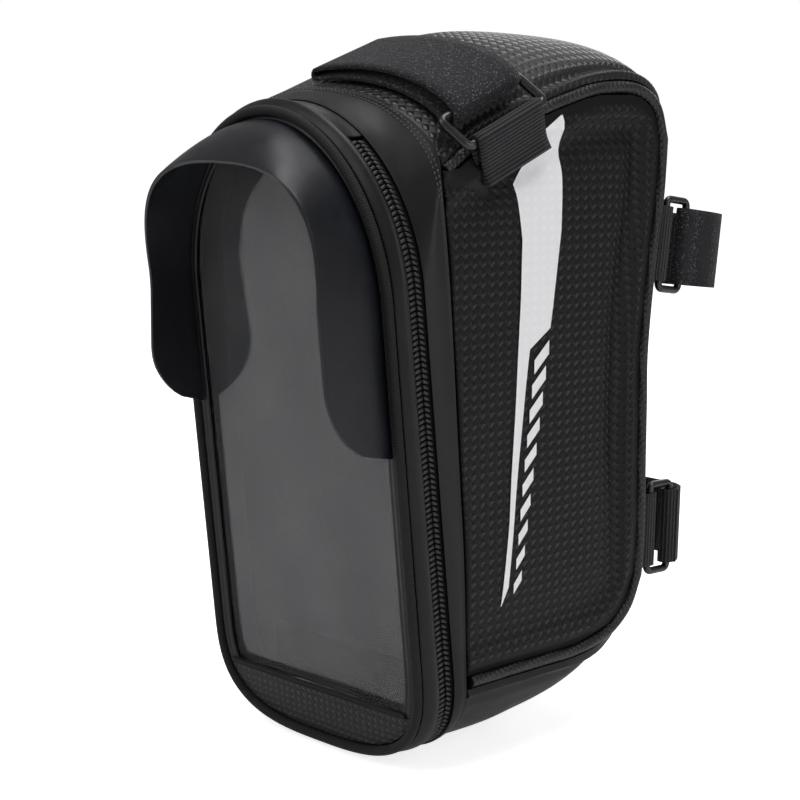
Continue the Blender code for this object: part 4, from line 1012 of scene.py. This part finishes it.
piece = gridPiece("hingeStrip", hingeRows(), smooth, thickness=hinge["thickness"], rounded=hinge["rounded"])
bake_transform(piece)
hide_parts("hinge_strip")
for name in ("upper_slider", "upper_pull", "lower_slider", "lower_pull"):
    dressNode(name, sliderPaint, zipForm["sliderEdge"])
print("zip made")


# Window, its frame and the lower insert

window = {"frameInset": 0.0025, "inset": 0.0064, "foot": 0.0180, "filmMargin": 0.0014, "count": 150,
          "frameThickness": 0.0016, "frameRounded": 0.0004, "filmThickness": 0.0005, "filmWave": 0.0006,
          "weltHalf": 0.0400, "weltProud": 0.0004, "weltRadius": 0.0007}


def onFace(point, back):
    return (point[0], faceY(point[1]) + back, point[1])


def windowFrameRows():
    lines = []
    for k in range(11):
        t = k / 10
        inset = window["frameInset"] + (window["inset"] - window["frameInset"]) * t
        # two soft ridges, the inner one lower
        lift = -0.0005 * sin(pi * t / 0.62) if t < 0.62 else -0.0004 * sin(pi * (t - 0.62) / 0.38) + 0.0002
        outline = above(faceOutline(inset), window["foot"], window["count"])
        lines.append([onFace(point, lift) for point in outline])
    return [list(row) for row in zip(*lines)]


piece = gridPiece("windowFrame", windowFrameRows(), smooth, thickness=window["frameThickness"],
                  rounded=window["frameRounded"], centre=(0.0, 0.05, 0.1))
wear(piece, "lid", "smooth", "window_frame")


def filmRows():
    ring = above(faceOutline(window["inset"] - window["filmMargin"]), window["foot"] - window["filmMargin"],
                 121)
    rows = []
    half = len(ring) // 2
    for k in range(half):
        right = ring[k]
        left = ring[-1 - k]
        row = []
        for j in range(41):
            t = j / 40
            x = right[0] + (left[0] - right[0]) * t
            z = right[1] + (left[1] - right[1]) * t
            slack = sin(pi * t) ** 0.5
            wave = ripple((x, 0.0, z), 26.0, window["filmWave"])
            back = window["frameThickness"] + form["seamGap"] + slack * wave
            row.append(onFace((x, z), back + 0.0003 * slack))
        rows.append(row)
    return rows


filmGrid = filmRows()
piece = gridPiece("windowFilm", filmGrid, film, thickness=window["filmThickness"], centre=(0.0, 0.05, 0.1))
wear(piece, "lid", "film", "window_film")


def insertRows():
    top = window["foot"] - form["seamGap"]
    ring = [point for point in faceOutline(window["frameInset"]) if point[1] < top]
    ring.sort()
    edge = above(faceOutline(window["frameInset"]), top, 8)
    ring = resample([edge[-1], *ring, edge[0]], 91)
    rows = []
    for x, z in ring:
        row = []
        for j in range(15):
            t = j / 14
            height = z + (top - z) * t
            welt = -0.0009 * exp(-((t - 0.93) / 0.045) ** 2) if top - z > 0.002 else 0.0
            puff = -0.0006 * sin(pi * t) * min((top - z) / 0.006, 1.0)
            row.append(onFace((x, height), puff + welt))
        rows.append(row)
    return rows


piece = gridPiece("lowerInsert", insertRows(), fineEmbossed, thickness=window["frameThickness"],
                  uvAxes=(0, 2), centre=(0.0, 0.05, 0.01))
wear(piece, "lid", "embossed", "lower_insert")
weltY = faceY(window["foot"]) - window["weltProud"]
weltRoute = [(window["weltHalf"] * (k / 30 - 1), weltY, window["foot"] + 0.0001) for k in range(61)]
piece = sweep("insertWelt", weltRoute, window["weltRadius"], bindingSkin, sides=10)
wear(piece, "lid", "piping")


# Pocket behind the window

pocket = {"inset": 0.0035, "wall": 0.0012, "depth": 0.0100, "filmThickness": 0.0006, "rounded": 0.0004}
pocketStart = window["frameThickness"] + form["seamGap"]
pocketRear = pocketStart + pocket["filmThickness"] + pocket["depth"]


def gussetRows():
    rows = []
    depth = pocketRear - pocketStart - form["seamGap"]
    for x, z in faceOutline(pocket["inset"]):
        rows.append([(x, faceY(z) + pocketStart + depth * j / 6, z) for j in range(7)])
    return rows


piece = gridPiece("pocketGusset", gussetRows(), lining, closedRows=True, thickness=pocket["wall"],
                  centre=(0.0, -0.05, 0.1))
wear(piece, "lid", "lining", "pocket_gusset")
dressNode("pocket_back", lining, pocket["rounded"])
print("window and pocket made")


# Visor

# values by side, 1 on the right and -1 on the left, where the two differ
visor = {"inset": 0.0040, "foot": {1: 0.0960, -1: 0.1030}, "thickness": 0.0012, "rightReach": 0.0242,
         "leftReach": 0.0142, "leftFuller": 0.0027, "topReach": 0.0195, "rimHalf": {1: 0.0440, -1: 0.0432},
         "rimTop": 0.1785, "rimPower": {1: 2.8, -1: 2.55}, "corner": {1: 0.0220, -1: 0.0180},
         "columns": 18, "rounded": 0.0004, "fullerFrom": 0.004, "fullerOver": 0.028, "wave": 0.0009}


def visorRows():
    # from the foot on the lid's face out to the rim, for one arch from the right foot to the left
    sideSteps = 22
    archSteps = 72
    foot = form["faceHalf"] - visor["inset"]
    base = []
    rim = []
    for side, low in visor["foot"].items():
        halfBase = []
        halfRim = []
        for k in range(sideSteps):
            z = low + (form["faceHigh"] - low) * k / sideSteps
            halfBase.append((side * foot, z))
            halfRim.append((side * visor["rimHalf"][side], z))
        for k in range(archSteps // 2 + 1):
            turn = pi * k / archSteps
            across = max(cos(turn), 0.0) if k < archSteps // 2 else 0.0
            rise = form["faceTop"] - visor["inset"] - form["faceHigh"]
            halfBase.append((side * foot * across, form["faceHigh"] + rise * sin(turn)))
            squareness = 2 / visor["rimPower"][side]
            rimRise = (visor["rimTop"] - form["faceHigh"]) * sin(turn) ** squareness
            halfRim.append((side * visor["rimHalf"][side] * across ** squareness, form["faceHigh"] + rimRise))
        if side > 0:
            base += halfBase
            rim += halfRim
        else:
            base += halfBase[-2::-1]
            rim += halfRim[-2::-1]
    lengths = [0.0]
    for a, b in zip(base, base[1:]):
        lengths.append(lengths[-1] + stepLength(a, b))
    rows = []
    for (x, z), (u, v), run in zip(base, rim, lengths):
        near = min(run / visor["corner"][1], (lengths[-1] - run) / visor["corner"][-1])
        share = sqrt(max(1 - (1 - min(near, 1.0)) ** 2, 0.0)) * 0.94 + 0.06
        height = max(z - form["faceHigh"], 0.0) / (form["faceTop"] - form["faceHigh"])
        lower = min(max((form["faceHigh"] + visor["fullerFrom"] - z) / visor["fullerOver"], 0.0), 1.0)
        sideReach = visor["rightReach"] if x > 0 else visor["leftReach"] + visor["leftFuller"] * lower
        reach = sideReach + (visor["topReach"] - sideReach) * min(height * 1.2, 1.0)
        row = []
        for j in range(visor["columns"] + 1):
            t = share * j / visor["columns"]
            bow = t * t
            point = (x + (u - x) * bow, faceY(z) - form["seamGap"] - reach * t, z + (v - z) * bow)
            wave = ripple(point, 22.0, visor["wave"]) * t
            row.append((point[0] + wave * (1 if x > 0 else -1), point[1], point[2] + wave * 0.6))
        rows.append(row)
    return rows


piece = gridPiece("visor", visorRows(), visorSkin, thickness=visor["thickness"], offset=0.0,
                  rounded=visor["rounded"], centre=(0.0, -0.07, 0.12))
wear(piece, "lid", "smooth", "visor")
print("visor made")


# Head strap, its ring and its tab

headStrap = {"drawnWire": 0.0014, "frontY": -0.0360, "width": 0.0255, "loopEnd": -0.0085, "lift": 0.0016,
             "wrap": 0.0025, "loopHeight": 0.0044, "ringTurn": 26.0, "thickness": 0.0012,
             "ringWidth": 0.0107, "ringShift": 0.0047, "corner": 0.0018, "wire": 0.0012,
             "tabThickness": 0.0008, "tabLength": 0.0120, "tabSlant": 0.70}
frontCurve = smoothCurve(frontSeam, 3)


def overFrontEnd(turn, y, lift):
    # a point over the crown of the front end, turned up from the right side
    seamZ = readCurve(frontCurve, y, 0, 1)
    rise = readCurve(frontCurve, y, 0, 2)
    angle = radians(turn)
    away = Vector((rise * cos(angle), form["panelHalf"] * sin(angle))).normalized() * lift
    return Vector((form["panelHalf"] * cos(angle) + away.x, y, seamZ + rise * sin(angle) + away.y))


def headBar(y):
    rise = readCurve(frontCurve, y, 0, 2)
    angle = radians(headStrap["ringTurn"])
    out = Vector((rise * cos(angle), 0.0, form["panelHalf"] * sin(angle))).normalized()
    middle = overFrontEnd(headStrap["ringTurn"], y, headStrap["lift"] + headStrap["wrap"])
    return middle, out, Vector((-out.z, 0.0, out.x))


def headEdge(y):
    # one edge of the strap's loop: over the crown, back on itself and round the ring's bar
    steps = 24
    start = headStrap["ringTurn"] + 5
    end = degrees(acos(headStrap["loopEnd"] / form["panelHalf"]))
    ringLift = headStrap["lift"] + 2 * headStrap["wrap"]
    line = []
    for k in range(steps + 1):
        line.append(overFrontEnd(start + (end - start) * k / steps, y, headStrap["lift"]))
    rise = (headStrap["loopHeight"] - headStrap["lift"]) / 2
    for k in range(7):
        turn = -70 + 140 * k / 6
        across = degrees(rise * cos(radians(turn)) / form["panelHalf"])
        line.append(overFrontEnd(end + across, y, headStrap["lift"] + rise + rise * sin(radians(turn))))
    for k in range(steps + 1):
        t = k / steps
        lift = headStrap["loopHeight"] + (ringLift - headStrap["loopHeight"]) * t
        line.append(overFrontEnd(end + (start - end) * t, y, lift))
    bar, out, left = headBar(y)
    for turn in (90, 120, 150, 180, 210, 240, 270):
        line.append(bar + (left * cos(radians(turn)) + out * sin(radians(turn))) * headStrap["wrap"])
    return line


def strapRows(lines, thickness, normalOf):
    # closed cross-sections of a strap, from its lines along the length
    size = len(lines[0])
    rows = []
    for k in range(size):
        row = []
        for face, order in ((1, lines), (-1, lines[::-1])):
            for line in order:
                row.append(line[k] + normalOf(line, k) * (face * thickness / 2))
        rows.append(row)
    return rows


def loopNormal(line, k):
    run = line[(k + 1) % len(line)] - line[k - 1]
    return Vector((run.z, 0.0, -run.x)).normalized()


headEdges = [headEdge(y) for y in (headStrap["frontY"], headStrap["frontY"] + headStrap["width"])]
headLines = [[a.lerp(b, j / 10) for a, b in zip(*headEdges)] for j in range(11)]
piece = gridPiece("headStrap", strapRows(headLines, headStrap["thickness"], loopNormal), loops,
                  closedRows=True, closedColumns=True)
wear(piece, "bag", "webbing", "head_strap")


def headBars():
    # the ends of the ring's upper bar, in the strap, and of its lower bar, in the tab
    front = headBar(headStrap["frontY"])[0]
    back = headBar(headStrap["frontY"] + headStrap["width"])[0]
    along = (back - front).normalized()
    margin = headStrap["corner"] + form["seamGap"]
    upper = [front - along * (margin + headStrap["wire"] + form["seamGap"]), back + along * margin]
    outX = (form["pipingX"] + form["pipingRadius"] + 3 * form["seamGap"] + headStrap["tabThickness"]
            + headStrap["wire"])
    lower = []
    for point in upper:
        across = outX - point.x
        drop = sqrt(headStrap["ringWidth"] ** 2 - across ** 2 - headStrap["ringShift"] ** 2)
        lower.append(Vector((outX, point.y + headStrap["ringShift"], point.z - drop)))
    return upper, lower


def roundedRing(corners, radius, steps=7, straight=8):
    route = []
    for k in range(4):
        corner = corners[k]
        back = (corners[k - 1] - corner).normalized() * radius
        forth = (corners[(k + 1) % 4] - corner).normalized() * radius
        for j in range(steps + 1):
            angle = pi / 2 * j / steps
            route.append(corner + back * (1 - sin(angle)) + forth * (1 - cos(angle)))
        ahead = corners[(k + 1) % 4] - (corners[(k + 1) % 4] - corner).normalized() * radius
        last = route[-1]
        for j in range(1, straight):
            route.append(last.lerp(ahead, j / straight))
    return route


headUpper, headLower = headBars()
ringCorners = [headUpper[0], headUpper[1], headLower[1], headLower[0]]
piece = sweep("headRing", roundedRing(ringCorners, headStrap["corner"]), headStrap["drawnWire"],
              ringPlastic, closed=True, sides=14)
wear(piece, "bag", "ring_plastic", "head_ring")


def headTabRows():
    tab = headStrap["tabThickness"]
    length = headStrap["tabLength"]
    sideX = form["panelHalf"] + form["seamGap"] + tab / 2 + 0.0004
    proudX = form["pipingX"] + form["pipingRadius"] + form["seamGap"] + tab / 2  # over the piping
    barX = headLower[0].x
    wrap = barX - proudX
    route = [(sideX, -length), (sideX, -length * 0.72), (sideX, -length * 0.45), (proudX, -0.0030),
             (proudX, 0.0)]
    for turn in range(150, -1, -30):
        route.append((barX + wrap * cos(radians(turn)), wrap * sin(radians(turn))))
    apart = tab + form["seamGap"]
    route += [(proudX + apart + 0.0012, -0.0045), (sideX + apart + 0.0003, -length * 0.7),
              (sideX + apart, -length)]
    route = smoothCurve(route, 3)
    way = (headLower[1] - headLower[0]).normalized()
    inside = headStrap["corner"] + form["seamGap"]
    ends = (headLower[0] + way * inside,
            headLower[1] - way * (inside + headStrap["wire"] + form["seamGap"]))
    rows = []
    for (x, z), (nx, nz) in zip(route, normalsOf(route)):
        row = []
        for face, order in ((1, range(11)), (-1, range(10, -1, -1))):
            px = x + nx * face * tab / 2
            pz = z + nz * face * tab / 2
            slant = min(pz, 0.0) * headStrap["tabSlant"]
            start, stop = (Vector((px, end.y - slant, end.z + pz)) for end in ends)
            row += [start.lerp(stop, j / 10) for j in order]
        rows.append(row)
    return rows


piece = gridPiece("headRingTab", headTabRows(), webbing, closedColumns=True, caps=True)
wear(piece, "bag", "webbing", "head_ring_tab")
print("head strap made")


# Tube straps, their rings and tabs

tubeStrap = {"thickness": 0.0012, "width": 0.0240, "ringX": 0.0465, "ringHalfLength": 0.0142,
             "ringHalfWidth": 0.0050, "ringOut": 0.0085, "wire": 0.0012, "corner": 0.0018,
             "tabThickness": 0.0008}
tubeCurve = smoothCurve(tubeSeam, 4)


def tubeFrame(centreZ, droop):
    # where a strap lies on the tube side, which way is out and which way runs along the bag
    angle = radians(droop)
    half = tubeStrap["width"] / 2
    out = Vector((0.0, cos(angle), -sin(angle)))
    along = Vector((0.0, sin(angle), cos(angle)))
    profile = []
    for k in range(-4, 5):
        z = centreZ + half * k / 4
        y = readCurve(tubeCurve, z, 1, 0) + readCurve(tubeCurve, z, 1, 2)
        profile.append(Vector((0.0, y, z)))
    middle = profile[4]
    proud = max((point - middle).dot(out) for point in profile)
    return middle + out * (proud + form["seamGap"]), out, along


def flatStrapRows(route, origin, out, along, half, thickness, footOf=None):
    # cross-sections of a strap along a route of (x, lift); footOf gives the lift where an end is sewn down
    rows = []
    for (x, lift), (nx, nLift) in zip(route, normalsOf(route)):
        row = []
        for face, order in ((1, range(11)), (-1, range(10, -1, -1))):
            px = x + nx * face * thickness / 2
            pLift = lift + nLift * face * thickness / 2
            for j in order:
                side = -half + 2 * half * j / 10
                reach = footOf(side) if footOf and lift <= 0.0 else pLift
                row.append(Vector((px, 0.0, 0.0)) + origin + out * reach + along * side)
        rows.append(row)
    return rows


tubeStraps = (("upper", 0.1510, 0.0380, 8.0), ("lower", 0.0590, 0.0240, 2.0))  # name, height, reach, droop
for name, centreZ, reach, droop in tubeStraps:
    origin, out, along = tubeFrame(centreZ, droop)
    lie = tubeStrap["thickness"] / 2
    ring = tubeStrap["ringX"]
    over = tubeStrap["wire"] + form["seamGap"] + lie
    bar = tubeStrap["ringOut"] + tubeStrap["ringHalfWidth"]
    bend = min(0.010, reach * 0.35)
    route = smoothCurve([
        (-0.0040, lie), (-0.0200, lie), (-0.0360, lie), (-0.0440, 0.0035), (-ring, 0.0100),
        (-ring, reach - bend),
        (-ring + bend * 0.7, reach - bend * 0.25), (-ring + 2 * bend, reach), (ring - 2 * bend, reach),
        (ring - bend * 0.4, reach - bend * 0.25), (ring + over, reach - bend * 1.1),
        (ring + over, bar + 0.0006), (ring + over * 0.6, bar - over), (ring - over * 0.6, bar - over),
        (ring - over, bar + 0.0010), (ring - over, bar + 0.0065)], 6)
    rows = flatStrapRows(route, origin, out, along, tubeStrap["width"] / 2, tubeStrap["thickness"])
    piece = gridPiece(f"{name}Strap", rows, loops if name == "upper" else webbing, closedColumns=True,
                      caps=True)
    wear(piece, "bag", "webbing", f"{name}_strap")
    middle = origin + out * tubeStrap["ringOut"] + Vector((ring, 0.0, 0.0))
    longWay = along * tubeStrap["ringHalfLength"]
    shortWay = out * tubeStrap["ringHalfWidth"]
    corners = [middle + longWay + shortWay, middle - longWay + shortWay,
               middle - longWay - shortWay, middle + longWay - shortWay]
    piece = sweep(f"{name}Ring", roundedRing(corners, tubeStrap["corner"]), tubeStrap["wire"], ringPlastic,
                  closed=True, sides=14)
    wear(piece, "bag", "ring_plastic", f"{name}_ring")
    wrap = tubeStrap["wire"] + form["seamGap"] + tubeStrap["tabThickness"] / 2
    innerBar = tubeStrap["ringOut"] - tubeStrap["ringHalfWidth"]
    route = [(ring - wrap, 0.0), (ring - wrap, innerBar * 0.5), (ring - wrap, innerBar)]
    for turn in range(150, 0, -30):
        route.append((ring + wrap * cos(radians(turn)), innerBar + wrap * sin(radians(turn))))
    route += [(ring + wrap, innerBar), (ring + wrap, innerBar * 0.5), (ring + wrap, 0.0)]

    def footOf(side):
        z = (origin + along * side).z
        seam = Vector((0.0, readCurve(tubeCurve, z, 1, 0) + form["pipingRadius"] + form["seamGap"], z))
        return (seam - origin).dot(out)

    half = tubeStrap["ringHalfLength"] - tubeStrap["wire"] - 4 * form["seamGap"]
    rows = flatStrapRows(route, origin, out, along, half, tubeStrap["tabThickness"], footOf)
    piece = gridPiece(f"{name}RingTab", rows, webbing, closedColumns=True, caps=True)
    wear(piece, "bag", "webbing", f"{name}_ring_tab")
print("tube straps made")


# Stitching

stitching = {"level": 0.80, "apart": 0.08, "lowest": 0.166, "length": 0.0011, "gap": 0.0005,
             "radius": 0.00028, "tabRadius": 0.00022}


def bandStitches():
    # two close rows over the front end, on the zip band's own surface
    rows = zipBandRows()
    lines = []
    for level in (stitching["level"], stitching["level"] + stitching["apart"]):
        points = []
        outs = []
        for before, row, after in zip(rows[-1:] + rows[:-1], rows, rows[1:] + rows[:1]):
            share = level * lip["columns"]
            k = int(share)
            point = Vector(row[k]).lerp(Vector(row[k + 1]), share - k)
            if point.z < stitching["lowest"]:
                continue
            out = (Vector(after[k]) - Vector(before[k])).cross(Vector(row[k + 1]) - Vector(row[k]))
            out.normalize()
            if out.dot(point - Vector((0.0, point.y, 0.1))) < 0:
                out = -out
            points.append(point)
            outs.append(out)
        lines.append((points, outs))
    return lines


for name, (points, outs) in zip(("Front", "Back"), bandStitches()):
    piece = stitchLine(f"bandStitches{name}", points, outs, thread, length=stitching["length"],
                       gap=stitching["gap"], radius=stitching["radius"])
    wear(piece, "bag", "piping")
tabRows = headTabRows()
for name, index in (("Near", -3), ("Far", -8)):
    row = tabRows[index][:11]
    piece = stitchLine(f"tabStitches{name}", row, [(1.0, 0.0, 0.0)] * 11, thread,
                       radius=stitching["tabRadius"])
    wear(piece, "bag", "webbing")
print("stitching made")


# Floor, backdrop, light and camera

studio = {"key": 4.2, "fill": 3.7, "top": 9.0, "rim": 2.0, "floorGlow": 0.78, "near": 0.20, "far": 0.75,
          "mirrored": 0.22, "ambient": 0.14, "floorSize": 4.0, "floorZ": -0.0012}


def whiteSeen(tree):
    # 1 to the camera and through anything clear, less to a gloss, and 0 to light that falls on the bag
    rays = addNode(tree, "LightPath", {}).node.outputs
    straight = addNode(tree, "Math", {0: rays["Is Camera Ray"], 1: rays["Is Transmission Ray"]},
                       operation="MAXIMUM")
    mirrored = addNode(tree, "Math", {0: rays["Is Glossy Ray"], 1: studio["mirrored"]}, operation="MULTIPLY")
    return addNode(tree, "Math", {0: straight, 1: mirrored}, operation="MAXIMUM")


def stageFinish():
    # matt white card that keeps the bag's soft shadow and fades to pure white away from it
    made, tree, shader = newMaterial("pale floor", Roughness=0.9, Base_Color=linear("f2f2f2"))
    where = addNode(tree, "TexCoord", {}, "Object")
    away = addNode(tree, "VectorMath", {0: where}, "Value", operation="LENGTH")
    level = addNode(tree, "MapRange", {0: away, 1: studio["near"], 2: studio["far"], 3: studio["floorGlow"]})
    strength = addNode(tree, "Math", {0: whiteSeen(tree), 1: level}, operation="MULTIPLY")
    glow = addNode(tree, "Emission", {"Color": (1.0, 1.0, 1.0, 1.0), "Strength": strength})
    both = addNode(tree, "AddShader", {0: shader.outputs["BSDF"], 1: glow})
    tree.links.new(both, tree.nodes["Material Output"].inputs["Surface"])
    return made


floorShape = bmesh.new()
bmesh.ops.create_grid(floorShape, x_segments=2, y_segments=2, size=studio["floorSize"])
bmesh.ops.translate(floorShape, verts=floorShape.verts, vec=(0.0, 0.0, studio["floorZ"]))
pieceFrom("floor", floorShape, stageFinish())

world = bpy.data.worlds.new("studio")
world.use_nodes = True
bpy.context.scene.world = world
sky = world.node_tree
backdrop = sky.nodes["Background"]
backdrop.inputs["Color"].default_value = (1.0, 1.0, 1.0, 1.0)
strength = addNode(sky, "MapRange", {0: whiteSeen(sky), 3: studio["ambient"]})
sky.links.new(strength, backdrop.inputs["Strength"])


def areaLight(name, location, target, size, power):
    lamp = bpy.data.lights.new(name, "AREA")
    lamp.shape = "RECTANGLE"
    lamp.size = size[0]
    lamp.size_y = size[1]
    lamp.energy = power
    made = bpy.data.objects.new(name, lamp)
    bpy.context.scene.collection.objects.link(made)
    made.location = location
    made.rotation_euler = (Vector(target) - Vector(location)).to_track_quat("-Z", "Y").to_euler()


middlePoint = (0.0, 0.0, 0.11)
areaLight("keyLight", (-0.25, -0.95, 0.75), middlePoint, (0.7, 0.7), studio["key"])
areaLight("fillLight", (1.10, 0.05, 0.45), middlePoint, (0.8, 0.9), studio["fill"])
areaLight("topLight", (0.10, 0.05, 1.15), middlePoint, (0.9, 0.7), studio["top"])
areaLight("rimLight", (-0.5, 0.9, 0.6), middlePoint, (0.6, 0.6), studio["rim"])

eye = {"lens": 83.5, "place": (0.41406, -0.40396, 0.19538), "turn": (80.8, 0.1, 46.4)}
camera = bpy.data.objects.new("camera", bpy.data.cameras.new("camera"))
bpy.context.scene.collection.objects.link(camera)
camera.data.lens = eye["lens"]
camera.data.sensor_width = 36.0
camera.data.clip_start = 0.01
camera.location = eye["place"]
camera.rotation_euler = [radians(value) for value in eye["turn"]]
bpy.context.scene.camera = camera
bpy.context.scene.view_settings.view_transform = "Standard"
print("stage, lights and camera made")
